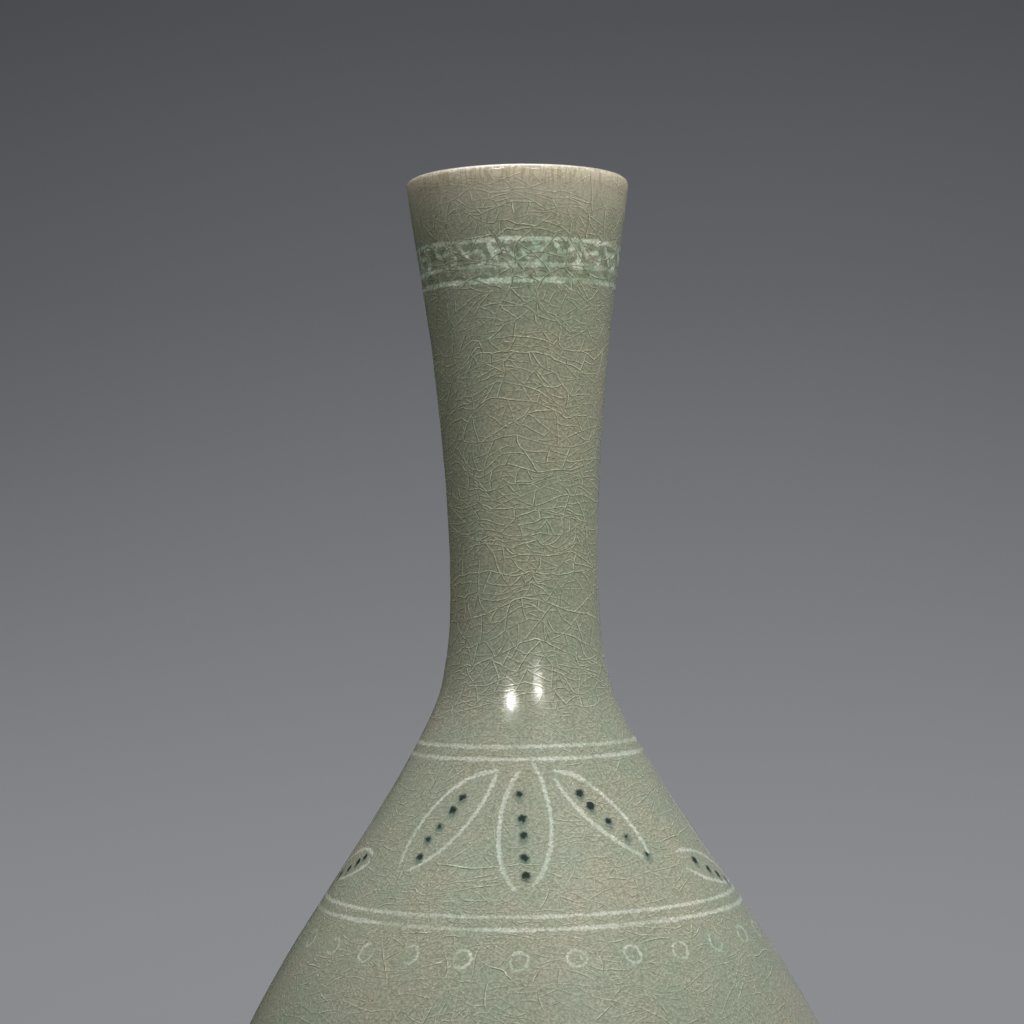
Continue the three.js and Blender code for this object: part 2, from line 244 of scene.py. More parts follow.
def pick(piece):
    """Makes a piece the only selected and the active one."""
    bpy.ops.object.select_all(action="DESELECT")
    piece.select_set(True)
    bpy.context.view_layer.objects.active = piece


def spun(name, line, edges, sides):
    """A piece made by spinning edges between (radius, height) points in mm round the axis."""
    mesh = bpy.data.meshes.new(name)
    mesh.from_pydata([(r * MM, 0, z * MM) for r, z in line], edges, [])
    piece = placed(name, mesh)
    pick(piece)
    bpy.ops.object.mode_set(mode="EDIT")
    bpy.ops.mesh.select_all(action="SELECT")
    bpy.ops.mesh.spin(steps=sides, angle=math.tau, center=(0, 0, 0), axis=(0, 0, 1))
    bpy.ops.mesh.select_all(action="SELECT")
    bpy.ops.mesh.remove_doubles(threshold=1e-6)
    bpy.ops.object.mode_set(mode="OBJECT")
    return piece


def face_outwards(piece):
    """Turns all faces of a piece the same way out."""
    pick(piece)
    bpy.ops.object.mode_set(mode="EDIT")
    bpy.ops.mesh.select_all(action="SELECT")
    bpy.ops.mesh.normals_make_consistent(inside=False)
    bpy.ops.object.mode_set(mode="OBJECT")


def corners(mesh):
    """Positions in mm of all the vertices, and the vertex and the face of each face corner."""
    places = np.zeros(len(mesh.vertices) * 3)
    mesh.vertices.foreach_get("co", places)
    vertex = np.zeros(len(mesh.loops), int)
    mesh.loops.foreach_get("vertex_index", vertex)
    sizes = np.zeros(len(mesh.polygons), int)
    mesh.polygons.foreach_get("loop_total", sizes)
    return places.reshape(-1, 3) / MM, vertex, np.repeat(np.arange(len(sizes)), sizes)


def set_map(mesh, across, up):
    """The UV map of a piece, from the two values of each face corner."""
    layer = mesh.uv_layers.new(name="OFBake")
    layer.data.foreach_set("uv", np.stack([across, up], 1).ravel())


def lay_out(piece, profile):
    """A UV map of a turned piece: once round is its width, and the way along its profile its height."""
    places, vertex, face = corners(piece.data)
    run = way_along(profile)
    total = run[-1] + np.hypot(*(profile[0] - profile[-1]))
    radius = np.hypot(places[:, 0], places[:, 1])
    nearest = np.array([
        np.argmin((profile[:, 0] - r) ** 2 + (profile[:, 1] - z) ** 2) for r, z in zip(radius, places[:, 2])
    ])
    along = run[nearest][vertex]
    middle = np.stack([np.bincount(face, places[vertex, axis]) for axis in (0, 1)], 1)
    facing = np.arctan2(middle[:, 1], middle[:, 0])[face]
    turn = np.arctan2(places[vertex, 1], places[vertex, 0]) - facing
    turn = np.where(radius[vertex] < 1e-3, 0, (turn + math.pi) % math.tau - math.pi)
    high = np.zeros(face[-1] + 1)
    np.maximum.at(high, face, along)
    along = np.where(high[face] - along > total / 2, along + total, along)
    across = (facing + turn) / math.tau + 0.5
    set_map(piece.data, 0.01 + 0.98 * across, 0.01 + 0.98 * along / total)


def turned(name, profile, node):
    """A thrown and glazed shell from its closed profile of (radius, height) points in mm."""
    pairs = [(i, (i + 1) % len(profile)) for i in range(len(profile))]
    edges = [(i, j) for i, j in pairs if max(profile[i][0], profile[j][0]) > 1e-6]
    piece = spun(name, profile, edges, SIDES)
    face_outwards(piece)
    lay_out(piece, profile)
    piece.data.vertices.foreach_set("co", thrown(corners(piece.data)[0]).ravel())
    piece.data.update()
    bpy.ops.object.shade_smooth_by_angle(angle=math.radians(SMOOTH_ANGLE))
    piece.data.materials.append(glaze)
    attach(piece, "root")
    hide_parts(node)
    return piece


def new_material(name):
    """A material, its node tree and its shader."""
    material = bpy.data.materials.new(name)
    material.use_nodes = True
    return material, material.node_tree, material.node_tree.nodes["Principled BSDF"]


def add_node(tree, kind, settings=None, **inputs):
    """A node of that kind in a tree. An input is a plain value or another node's output."""
    node = tree.nodes.new("ShaderNode" + kind)
    for name, value in (settings or {}).items():
        setattr(node, name, value)
    for name, value in inputs.items():
        socket = node.inputs[int(name[1:])] if name[0] == "_" else node.inputs[name.replace("_", " ")]
        if isinstance(value, bpy.types.NodeSocket):
            tree.links.new(value, socket)
        else:
            socket.default_value = value
    return node


def sum_up(tree, how, *values):
    """The result of a Math node."""
    inputs = {f"_{i}": value for i, value in enumerate(values)}
    return add_node(tree, "Math", {"operation": how}, **inputs).outputs[0]


def times(tree, first, second):
    """The product of two values."""
    return sum_up(tree, "MULTIPLY", first, second)


def plus(tree, first, second):
    """The sum of two values."""
    return sum_up(tree, "ADD", first, second)


def less(tree, first, second):
    """The first value less the second."""
    return sum_up(tree, "SUBTRACT", first, second)


def long_side(tree, first, second):
    """The distance that two values at right angles span."""
    flat = add_node(tree, "CombineXYZ", _0=first, _1=second, _2=0.0).outputs[0]
    return add_node(tree, "VectorMath", {"operation": "LENGTH"}, _0=flat).outputs["Value"]


def stretched(tree, place, factors):
    """A place with each of its coordinates multiplied by a factor."""
    return add_node(tree, "VectorMath", {"operation": "MULTIPLY"}, _0=place, _1=factors).outputs[0]


def place_in_mm(tree):
    """The place on the object in mm."""
    coordinates = add_node(tree, "TexCoord").outputs["Object"]
    return add_node(tree, "VectorMath", {"operation": "SCALE"}, _0=coordinates, Scale=1 / MM).outputs[0]


def rise(tree, value, low, high):
    """A smooth rise from 0 to 1 as value goes from low to high."""
    settings = {"interpolation_type": "SMOOTHSTEP"}
    return add_node(tree, "MapRange", settings, Value=value, From_Min=low, From_Max=high).outputs[0]


def between(tree, value, least, most, low=0.0, high=1.0):
    """A straight way from least to most as value goes from low to high."""
    ends = {"From_Min": low, "From_Max": high, "To_Min": least, "To_Max": most}
    return add_node(tree, "MapRange", Value=value, **ends).outputs[0]


def blend(tree, share, first, second, how="MIX"):
    """Two colours mixed by a share."""
    node = add_node(tree, "Mix", {"data_type": "RGBA", "blend_type": how}, _0=share, _6=first, _7=second)
    return node.outputs[2]


def cloud(tree, place, size, detail=2.0):
    """Noise from 0 to 1 whose patches are about that many mm across."""
    return add_node(tree, "TexNoise", Vector=place, Scale=1 / size, Detail=detail).outputs[0]


GLAZE_GREEN = (0.307, 0.347, 0.262, 1)
GLAZE_BEIGE = (0.366, 0.358, 0.272, 1)
# painted shade: the glaze below the shoulder is darkened, as if less light reached it
BELLY_PAINTED_SHADE = (0.935, 0.945, 0.95, 1)
SHOULDER_TINT = (1.06, 1.06, 1.065, 1)
NECK_TINT = (1.02, 1.015, 0.945, 1)
POOL_GREEN = (0.74, 0.81, 0.76, 1)
MINT_HAZE = (1.34, 1.38, 1.44, 1)
THIN_GLAZE = (0.64, 0.58, 0.445, 1)
THIN_STREAK = (0.72, 0.67, 0.58, 1)
UNDER_LIP = (1.32, 1.29, 1.28, 1)
# painted light and painted shade of the finest cracks, one over the other
PAINTED_LIGHT_HAIR = (1.24, 1.24, 1.26, 1)
PAINTED_SHADE_HAIR = (0.76, 0.77, 0.73, 1)
LIP_CREAM = (0.45, 0.42, 0.355, 1)
GLAZE_IOR = 1.58
# heights in mm over which one part of the glaze passes into the next
SHOULDER_START = (172, 214)
NECK_START = (240, 285)
BAND_START = (345, 348.5)
BAND_END = (360, 357)
THIN_START = (361.5, 376)
STREAK_START = (368.5, 372.5)
UNDER_LIP_START = (370.5, 373.2)
LIP_START = (374.2, 374.9)
# radius in mm that parts the outside of the band from the inside of the neck
BAND_SKIN = (22.6, 23.2)
# mm across: the patches of each kind in the glaze, and the cells of its finest cracks
CLOUD_SIZE = 26
DRIFT_SIZE = 7
GRAIN_SIZE = 0.6
WAVE_SIZE = 1.6
POOL_SIZE = 2.6
WASH_SIZE = 1.7
STREAK_SIZE = 0.8
RUN_SIZE = 0.5
STREAK_LENGTH = 3.5
HAIR_CELL = 2.3
HAIR_WIDTH = 0.12
HAIR_PARTING = 0.13
HAIR_BEND = 2.4
RUNNING_DOWN = (1, 1, 0.1)
# mm of relief
HAIR_RELIEF = 0.012
GRAIN_RELIEF = 0.04
WAVE_RELIEF = 0.08


def make_celadon():
    """The colour and relief of the crackled glaze, worked out from the place on the vase in mm."""
    tree = bpy.data.node_groups.new("celadon", "ShaderNodeTree")
    for name, kind in (("Color", "Color"), ("Relief", "Float"), ("Roughness", "Float")):
        tree.interface.new_socket(name, in_out="OUTPUT", socket_type="NodeSocket" + kind)
    out = tree.nodes.new("NodeGroupOutput")
    place = place_in_mm(tree)
    x, y, height = add_node(tree, "SeparateXYZ", _0=place).outputs

    # broad green and beige clouds, a finer drift over them, then grain and specks
    broad = rise(tree, cloud(tree, place, CLOUD_SIZE, 3), 0.36, 0.64)
    drift = rise(tree, cloud(tree, place, DRIFT_SIZE, 3), 0.3, 0.7)
    share = plus(tree, times(tree, broad, 0.55), times(tree, drift, 0.45))
    colour = blend(tree, share, GLAZE_GREEN, GLAZE_BEIGE)
    # painted shade darkens the belly, as if less light reached it; the shoulder is a little lighter and the
    # neck more yellow
    tint = blend(tree, rise(tree, height, *SHOULDER_START), BELLY_PAINTED_SHADE, SHOULDER_TINT)
    tint = blend(tree, rise(tree, height, *NECK_START), tint, NECK_TINT)
    colour = blend(tree, 1.0, colour, tint, "MULTIPLY")
    grain = cloud(tree, place, GRAIN_SIZE, 3)
    colour = blend(tree, 1.0, colour, between(tree, grain, 0.82, 1.18, 0.36, 0.64), "MULTIPLY")

    # glaze pooled green between the lines round the neck, with slip washed thin over it
    band = times(tree, rise(tree, height, *BAND_START), rise(tree, height, *BAND_END))
    band = times(tree, band, rise(tree, long_side(tree, x, y), *BAND_SKIN))
    patches = rise(tree, cloud(tree, place, POOL_SIZE, 3), 0.42, 0.58)
    colour = blend(tree, times(tree, band, patches), colour, POOL_GREEN, "MULTIPLY")
    wash = rise(tree, cloud(tree, stretched(tree, place, (1, 1, 1.6)), WASH_SIZE, 4), 0.47, 0.62)
    wash = times(tree, band, times(tree, wash, 0.8))
    colour = blend(tree, wash, colour, MINT_HAZE, "MULTIPLY")

    # thin glaze at the rim, run down in short streaks from a cream lip
    down = stretched(tree, place, RUNNING_DOWN)
    streak = rise(tree, cloud(tree, down, STREAK_SIZE, 1), 0.3, 0.7)
    thin = rise(tree, plus(tree, height, times(tree, streak, STREAK_LENGTH)), *THIN_START)
    colour = blend(tree, times(tree, thin, 0.8), colour, THIN_GLAZE)
    runs = rise(tree, cloud(tree, down, RUN_SIZE, 1), 0.48, 0.62)
    runs = times(tree, runs, times(tree, rise(tree, height, *STREAK_START), 0.75))
    colour = blend(tree, runs, colour, THIN_STREAK, "MULTIPLY")
    colour = blend(tree, rise(tree, height, *UNDER_LIP_START), colour, UNDER_LIP, "MULTIPLY")
    lip = rise(tree, plus(tree, height, times(tree, streak, 0.8)), *LIP_START)
    colour = blend(tree, lip, colour, LIP_CREAM)

    # the finest network of cracks, each a hair of painted light over one of painted shade, as on a raised
    # lip lit from above
    bent = add_node(tree, "TexNoise", Vector=place, Scale=1 / 4, Detail=2.0).outputs["Color"]
    settings = {"operation": "MULTIPLY_ADD"}
    bent = add_node(tree, "VectorMath", settings, _0=bent, _1=[HAIR_BEND] * 3, _2=place).outputs[0]
    hairs = []
    for lift, hair in ((-HAIR_PARTING, PAINTED_LIGHT_HAIR), (HAIR_PARTING, PAINTED_SHADE_HAIR)):
        moved = add_node(tree, "VectorMath", _0=bent, _1=(0, 0, lift)).outputs[0]
        moved = stretched(tree, moved, (1, 1, 1.8))
        settings = {"feature": "DISTANCE_TO_EDGE"}
        cells = add_node(tree, "TexVoronoi", settings, Vector=moved, Scale=1 / HAIR_CELL, Randomness=1.0)
        hairs.append(rise(tree, cells.outputs["Distance"], HAIR_WIDTH, 0.0))
        colour = blend(tree, times(tree, hairs[-1], drift), colour, hair, "MULTIPLY")

    # relief in mm: the soft waviness of the glaze, its grain and its finest cracks
    relief = plus(tree, times(tree, hairs[0], HAIR_RELIEF), times(tree, grain, GRAIN_RELIEF))
    relief = plus(tree, relief, times(tree, cloud(tree, place, WAVE_SIZE, 2), WAVE_RELIEF))
    rough = between(tree, cloud(tree, place, 1.4, 2), 0.12, 0.24)
    for name, value in (("Color", colour), ("Relief", relief), ("Roughness", rough)):
        tree.links.new(value, out.inputs[name])
    return tree


celadon = make_celadon()


def glazed(name):
    """A glazed material, with its tree, its shader and its celadon group."""
    material, tree, shader = new_material(name)
    group = tree.nodes.new("ShaderNodeGroup")
    group.node_tree = celadon
    bump = add_node(tree, "Bump", Strength=0.5, Distance=MM, Height=group.outputs["Relief"])
    tree.links.new(bump.outputs[0], shader.inputs["Normal"])
    tree.links.new(group.outputs["Color"], shader.inputs["Base Color"])
    tree.links.new(group.outputs["Roughness"], shader.inputs["Roughness"])
    shader.inputs["IOR"].default_value = GLAZE_IOR
    return material, tree, shader, group


glaze = glazed("celadon_glaze")[0]
CLAY_BUFF = (0.42, 0.30, 0.19, 1)
CLAY_BURNT = (0.30, 0.17, 0.10, 1)
KILN_GRIT = (0.58, 0.54, 0.46, 1)


def make_bare_clay():
    """The resting face of the foot, wiped clean of glaze: buff stoneware burnt brown, with kiln grit."""
    material, tree, shader = new_material("bare_clay")
    place = place_in_mm(tree)
    burnt = rise(tree, cloud(tree, place, 9, 3), 0.35, 0.65)
    grit = rise(tree, cloud(tree, place, 0.5, 1), 0.62, 0.7)
    colour = blend(tree, grit, blend(tree, burnt, CLAY_BUFF, CLAY_BURNT), KILN_GRIT)
    relief = plus(tree, cloud(tree, place, 0.4, 3), grit)
    bump = add_node(tree, "Bump", Strength=0.6, Distance=0.1 * MM, Height=relief)
    tree.links.new(bump.outputs[0], shader.inputs["Normal"])
    tree.links.new(colour, shader.inputs["Base Color"])
    shader.inputs["Roughness"].default_value = 0.85
    return material


foot_inside = FOOT_RADIUS - FOOT_RING_WIDTH
inner_wall = wall_line(inside, FLOOR_CORNER, BODY_SEAM, 2 * ROW)[::-1]
t = np.linspace(0, 1, 9)[1:, None]
turning_point = np.array([inside(FLOOR_HEIGHT), FLOOR_HEIGHT])
floor_edge = np.array([FLOOR_FLAT, FLOOR_HEIGHT])
corner = (1 - t) ** 2 * inner_wall[-1] + 2 * t * (1 - t) * turning_point + t ** 2 * floor_edge
floor_line = even([floor_edge, (0, FLOOR_HEIGHT)], 3)[1:]
under_line = even([(0, FOOT_RECESS), (foot_inside - RECESS_INSET, FOOT_RECESS)], 3)
recess_centre = (foot_inside - RECESS_INSET, FOOT_RECESS - RECESS_ROUNDING)
recess_corner = arc(recess_centre, RECESS_ROUNDING, 90, 0, 5)[1:]
foot_edge = (FOOT_RADIUS - 0.05, FOOT_BEVEL + 0.6)
ring_line = np.array([
    (foot_inside - 0.6, 1.4), (foot_inside, 0.4), (foot_inside + 0.5, 0.08), (foot_inside + 1.2, 0),
    (FOOT_RADIUS - FOOT_BEVEL, 0), (FOOT_RADIUS - 0.55, 0.25), (FOOT_RADIUS - 0.1, 1.0), foot_edge,
])
foot_wall = even([foot_edge, (FOOT_RADIUS - 0.75, FOOT_HEIGHT - 1)], ROW)[1:]
foot_groove = arc((FOOT_RADIUS + 0.05, FOOT_HEIGHT - 0.6), GROOVE_RADIUS, 200, 130, 4)
outer_low = near_seam(wall_line(outline, FOOT_HEIGHT + 0.6, BODY_SEAM, ROW), at_start=False)
low_profile = np.concatenate([
    near_seam(inner_wall, at_start=True), corner, floor_line,
    under_line, recess_corner, ring_line, foot_wall, foot_groove, outer_low,
])
lower_body = turned("glazed_lower_body", low_profile, "lower_body")
lower_body.data.materials.append(make_bare_clay())
for face in lower_body.data.polygons:
    if face.center.z < BARE_HEIGHT * MM and face.center.xy.length > foot_inside * MM:
        face.material_index = 1

# The upper body is a second thrown piece: it closes the belly over the girth and narrows through
# the shoulder. It is luted to the lower body with slip, and the seam is scraped level outside.
shoulder_outside = near_seam(near_seam(wall_line(outline, BODY_SEAM, NECK_SEAM, ROW), True), False)
shoulder_inside = near_seam(near_seam(wall_line(inside, BODY_SEAM, NECK_SEAM, 2 * ROW), True), False)
turned("glazed_upper_body", np.concatenate([shoulder_outside, shoulder_inside[::-1]]), "upper_body")

# The neck is thrown apart as a waisted tube with a rounded lip, and luted to the shoulder. Its glaze
# runs thin at the mouth, where the clay shows through it as a beige rim with a cream lip.
LIP_ROUNDING = 1.5
neck_outside = near_seam(wall_line(outline, NECK_SEAM, MOUTH_HEIGHT, ROW), at_start=True)
neck_inside = near_seam(wall_line(inside, NECK_SEAM, MOUTH_HEIGHT - 0.5, 2 * ROW), at_start=True)
lip_line = arc((float(outline(MOUTH_HEIGHT)) - LIP_ROUNDING, MOUTH_HEIGHT), LIP_ROUNDING, 0, 180, 14)[1:]
turned("glazed_neck", np.concatenate([neck_outside, lip_line, neck_inside[::-1]]), "neck")

# The rings are grooves cut on the wheel, filled with white slip and scraped level before the glaze
# went on: two round the belly, two at the foot of the neck and three at the top of it.
LINE_WIDTH = 0.92
SLIP_DEPTH = 0.5
STRIP_HALF = 1.25
# the section of a strip in mm: across from its middle, and above the skin
STRIP_SECTION = (
    (-STRIP_HALF, -0.014), (-0.5 * STRIP_HALF, 0.014), (0, 0.020), (0.5 * STRIP_HALF, 0.014),
    (STRIP_HALF, -0.014), (0.6 * STRIP_HALF, -SLIP_DEPTH), (-0.6 * STRIP_HALF, -SLIP_DEPTH),
)
# a strip with more points than LONG_STRIP is laid in STRIP_ROWS lanes of the UV map
STRIP_ROWS = 6
LONG_STRIP = 60
RING_SEED = 40
# mm long and how strong the swings of a ring are, in its height, its width and its whiteness
RING_DRIFT = (40, 0.12)
RING_WIDTHS = (5, 0.09)
RING_WEAR = (12, 0.22)
NECK_RING_WEAR = (9, 0.3)
NECK_RING_WIDTH = 1.25
RINGS = {
    "neck_line_upper": 357.5,
    "neck_line_middle": 351.4,
    "neck_line_lower": 348.0,
    "shoulder_line_upper": 238.2,
    "shoulder_line_lower": 235.4,
    "body_line_upper": 201.9,
    "body_line_lower": 199.3,
}
SLIP_OVER_GLAZE = (1.73, 1.69, 1.90, 1)
NECK_SLIP_OVER_GLAZE = (2.2, 2.2, 2.52, 1)
SLIP_SHADE = (0.87, 1.0, 0.93, 1)
SLIP_SHADE_SHARE = 0.5
# where the strips run, for the cracks that keep clear of them
slip_middles = []


def on_skin(turn, height, depth=0.0):
    """Points in mm on the outside at turns in degrees from the front and heights, raised by depth."""
    radius = outline(height) + depth / slant(height)
    around = np.radians(turn)
    up = height - depth * lean(height) / slant(height)
    return np.stack([radius * np.sin(around), -radius * np.cos(around), up + 0 * around], -1)


def skin_normals(turn, height):
    """The directions that the outside faces at turns and heights."""
    around = np.radians(turn)
    out = np.stack([np.sin(around), -np.cos(around), -lean(height) + 0 * around], -1)
    return out / np.linalg.norm(out, axis=-1, keepdims=True)


def wobble(rng, count, step, size, amount, closed=False):
    """A smooth random line of that many values, step mm apart, with swings about size mm long."""
    knots = max(4, round(count * step / size))
    values = rng.normal(0, amount, knots)
    at = np.arange(count) / count * knots
    low = at.astype(int)
    share = at - low
    share = share * share * (3 - 2 * share)
    following = values[(low + 1) % knots] if closed else np.append(values, values[-1])[low + 1]
    return values[low % knots] * (1 - share) + following * share


def side_steps(turns, heights, closed):
    """The turn and the height that one mm to the side of a line makes, at each of its points."""
    if closed:
        east = (np.roll(turns, -1) - np.roll(turns, 1) + 180) % 360 - 180
        north = np.roll(heights, -1) - np.roll(heights, 1)
    else:
        east, north = np.gradient(turns), np.gradient(heights)
    radius = outline(heights)
    east = np.radians(east) * radius
    north = north * slant(heights)
    length = np.hypot(east, north)
    return np.degrees(-north / length / radius), east / length / slant(heights)


def fill_grooves(name, grooves, material, node):
    """Strips of slip in the skin. A groove is (turns, heights, half widths, strengths, closed)."""
    places, facing, faces, coordinates = [], [], [], []
    marks = {"from_middle": [], "half_width": [], "strength": []}
    sides = len(STRIP_SECTION)
    lanes = sum(STRIP_ROWS if len(groove[0]) > LONG_STRIP else 1 for groove in grooves)
    start = lane = 0
    for turns, heights, halves, strengths, closed in grooves:
        slip_middles.extend(on_skin(turns, heights).tolist())
        count = len(turns)
        side_turn, side_height = side_steps(turns, heights, closed)
        for offset, lift in STRIP_SECTION:
            places.append(on_skin(turns + side_turn * offset, heights + side_height * offset, lift))
            facing.append(skin_normals(turns, heights))
            marks["from_middle"].append(np.full(count, offset))
            marks["half_width"].append(halves)
            marks["strength"].append(strengths)
        own_lanes = STRIP_ROWS if count > LONG_STRIP else 1
        per_lane = -(-count // own_lanes)
        for i in range(count if closed else count - 1):
            left = i % per_lane / per_lane
            right = left + 1 / per_lane
            for k in range(sides):
                near = start + k * count
                far = start + (k + 1) % sides * count
                following = (i + 1) % count
                faces.append([near + i, near + following, far + following, far + i])
                low, high = ((lane + i // per_lane + 0.05 + 0.9 * m / sides) / lanes for m in (k, k + 1))
                coordinates += [(left, low), (right, low), (right, high), (left, high)]
        if not closed:
            faces.append([start + k * count for k in range(sides)])
            faces.append([start + k * count + count - 1 for k in reversed(range(sides))])
            spot = 0.04 / sides / lanes
            for across in (0.01, 0.03):
                for angle in (math.tau * k / sides for k in range(sides)):
                    up = (lane + 0.02) / lanes + spot * math.sin(angle)
                    coordinates.append((across + 0.004 * math.cos(angle), up))
        start += count * sides
        lane += own_lanes
    piece = inlay_piece(name, places, facing, faces, coordinates, marks, material)
    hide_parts(node)


def set_marks(mesh, marks):
    """Values at each vertex of a piece, by name, for its material."""
    for mark, values in marks.items():
        attribute = mesh.attributes.new(mark, "FLOAT", "POINT")
        attribute.data.foreach_set("value", values.astype(np.float32))


def inlay_piece(name, places, facing, faces, coordinates, marks, material):
    """A piece of slip from its points, faces, map and marks. It is shaded as the skin that it fills."""
    mesh = bpy.data.meshes.new(name)
    mesh.from_pydata(thrown(np.concatenate(places)).tolist(), [], faces)
    set_map(mesh, *np.clip(np.array(coordinates) * 0.98 + 0.01, 0, 1).T)
    set_marks(mesh, {mark: np.concatenate(values) for mark, values in marks.items()})
    mesh.materials.append(material)
    mesh.shade_smooth()
    mesh.normals_split_custom_set_from_vertices(np.concatenate(facing).tolist())
    piece = placed(name, mesh)
    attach(piece, "root")
    return piece


def mark_value(tree, name):
    """The value that a strip's own attribute has at a point."""
    return add_node(tree, "Attribute", {"attribute_name": name}).outputs["Fac"]


def make_slip(name, over_glaze):
    """White slip in its groove under the glaze: ragged at its edges, with a greener pool beside it."""
    material, tree, shader, group = glazed(name)
    place = place_in_mm(tree)
    distance = sum_up(tree, "ABSOLUTE", mark_value(tree, "from_middle"))
    ragged = times(tree, less(tree, cloud(tree, place, 0.55, 3), 0.5), 1.5)
    beyond = less(tree, plus(tree, distance, ragged), mark_value(tree, "half_width"))
    white = rise(tree, beyond, 0.2, -0.18)
    worn = rise(tree, cloud(tree, place, 1.7, 3), 0.2, 0.62)
    covering = times(tree, between(tree, worn, 0.6, 1.0), mark_value(tree, "strength"))
    pool = times(tree, rise(tree, distance, STRIP_HALF, 0.35 * STRIP_HALF), SLIP_SHADE_SHARE)
    colour = blend(tree, pool, group.outputs["Color"], SLIP_SHADE, "MULTIPLY")
    lit = blend(tree, 1.0, group.outputs["Color"], over_glaze, "MULTIPLY")
    colour = blend(tree, times(tree, white, covering), colour, lit)
    tree.links.new(colour, shader.inputs["Base Color"])
    return material


white_slip = make_slip("white_slip", SLIP_OVER_GLAZE)
neck_slip = make_slip("neck_white_slip", NECK_SLIP_OVER_GLAZE)
for index, (ring, ring_height) in enumerate(RINGS.items()):
    rng = np.random.default_rng(RING_SEED + index)
    turns = np.arange(SIDES) * 360 / SIDES - 90
    step = math.tau * float(outline(ring_height)) / SIDES
    heights = np.full(SIDES, float(ring_height)) + wobble(rng, SIDES, step, *RING_DRIFT, True)
    halves = LINE_WIDTH / 2 + wobble(rng, SIDES, step, *RING_WIDTHS, True)
    strengths = np.clip(0.85 + wobble(rng, SIDES, step, *RING_WEAR, True), 0.15, 1)
    ring_slip = white_slip
    if ring.startswith("neck"):
        halves *= NECK_RING_WIDTH
        strengths = np.clip(0.75 + wobble(rng, SIDES, step, *NECK_RING_WEAR, True), 0.1, 1)
        ring_slip = neck_slip
    fill_grooves("slip_" + ring, [(turns, heights, halves, strengths, True)], ring_slip, ring)

# The scroll between the upper two lines of the neck is cut freehand: sloping strokes that fall from
# the upper line, wave along and hook round on the lower one, with thin strokes between them.
SCROLL_SEED = 7
SCROLL_COUNT = 19
SCROLL_PITCH = 360 / SCROLL_COUNT
SCROLL_POINTS = 12
SCROLL_LOW = RINGS["neck_line_middle"]
SCROLL_BAND = RINGS["neck_line_upper"] - SCROLL_LOW
THIN_STROKE = 3
# start, two handles and end of each stroke: share of a motif's width, share of the band's height
SCROLL_STROKES = (
    ((0.02, 0.98), (0.12, 0.80), (0.20, 0.50), (0.42, 0.22)),
    ((0.14, 0.62), (0.34, 0.38), (0.56, 0.72), (0.80, 0.55)),
    ((0.80, 0.55), (0.94, 0.34), (0.86, 0.02), (0.58, 0.14)),
    ((0.46, 0.98), (0.54, 0.86), (0.62, 0.80), (0.72, 0.92)),
)


def bezier(points, count):
    """Points along a cubic curve, given its start, two handles and end."""
    t = np.linspace(0, 1, count)[:, None]
    a, b, c, d = np.array(points, float)
    return (1 - t) ** 3 * a + 3 * (1 - t) ** 2 * t * b + 3 * (1 - t) * t ** 2 * c + t ** 3 * d


def tapered(count, half, rng, fade, strength, patchy):
    """Half widths and strengths of a freehand stroke, which narrows and pales at its ends."""
    run = np.linspace(0, 1, count)
    ends = ease(np.minimum(run, 1 - run), -0.02, fade)
    halves = half * (0.55 + 0.45 * ends) + wobble(rng, count, 1, 5, 0.05)
    strengths = np.clip(strength * (0.6 + 0.4 * ends) + wobble(rng, count, 1, 7, patchy), 0, 1)
    return halves, strengths


rng = random.Random(SCROLL_SEED)
noise_rng = np.random.default_rng(SCROLL_SEED)
scroll_grooves = []
for motif in range(SCROLL_COUNT):
    middle = SCROLL_PITCH * (motif + rng.uniform(-0.12, 0.12))
    reach = SCROLL_PITCH * rng.uniform(0.92, 1.1)
    for stroke_index, stroke in enumerate(SCROLL_STROKES):
        shifted = [(u + rng.uniform(-0.09, 0.09), v + rng.uniform(-0.1, 0.1)) for u, v in stroke]
        line = bezier(shifted, SCROLL_POINTS)
        turns = middle + line[:, 0] * reach
        heights = SCROLL_LOW + np.clip(line[:, 1], 0.04, 0.96) * SCROLL_BAND
        half = 0.38 if stroke_index == THIN_STROKE else rng.uniform(0.45, 0.68)
        halves, strengths = tapered(SCROLL_POINTS, half, noise_rng, 0.2, rng.uniform(0.6, 1.0), 0.25)
        scroll_grooves.append((turns, heights, halves, strengths, False))
fill_grooves("slip_neck_scroll", scroll_grooves, neck_slip, "neck_scroll")

# Four sprays of three leaves stand round the shoulder, hanging at the front and the back and rising
# at the sides. Each leaf is two freehand grooves of white slip that meet, or nearly meet, at its tip.
LEAF_SEED = 100
LEAF_HALF = 0.47
LEAF_POINTS = 36
LEAF_SWAY = (9, 0.12)
LEAF_BOB = (9, 0.1)
SPRAY_SHIFT = 0.35
FINE_POINTS = 80
SMOOTHINGS = 60
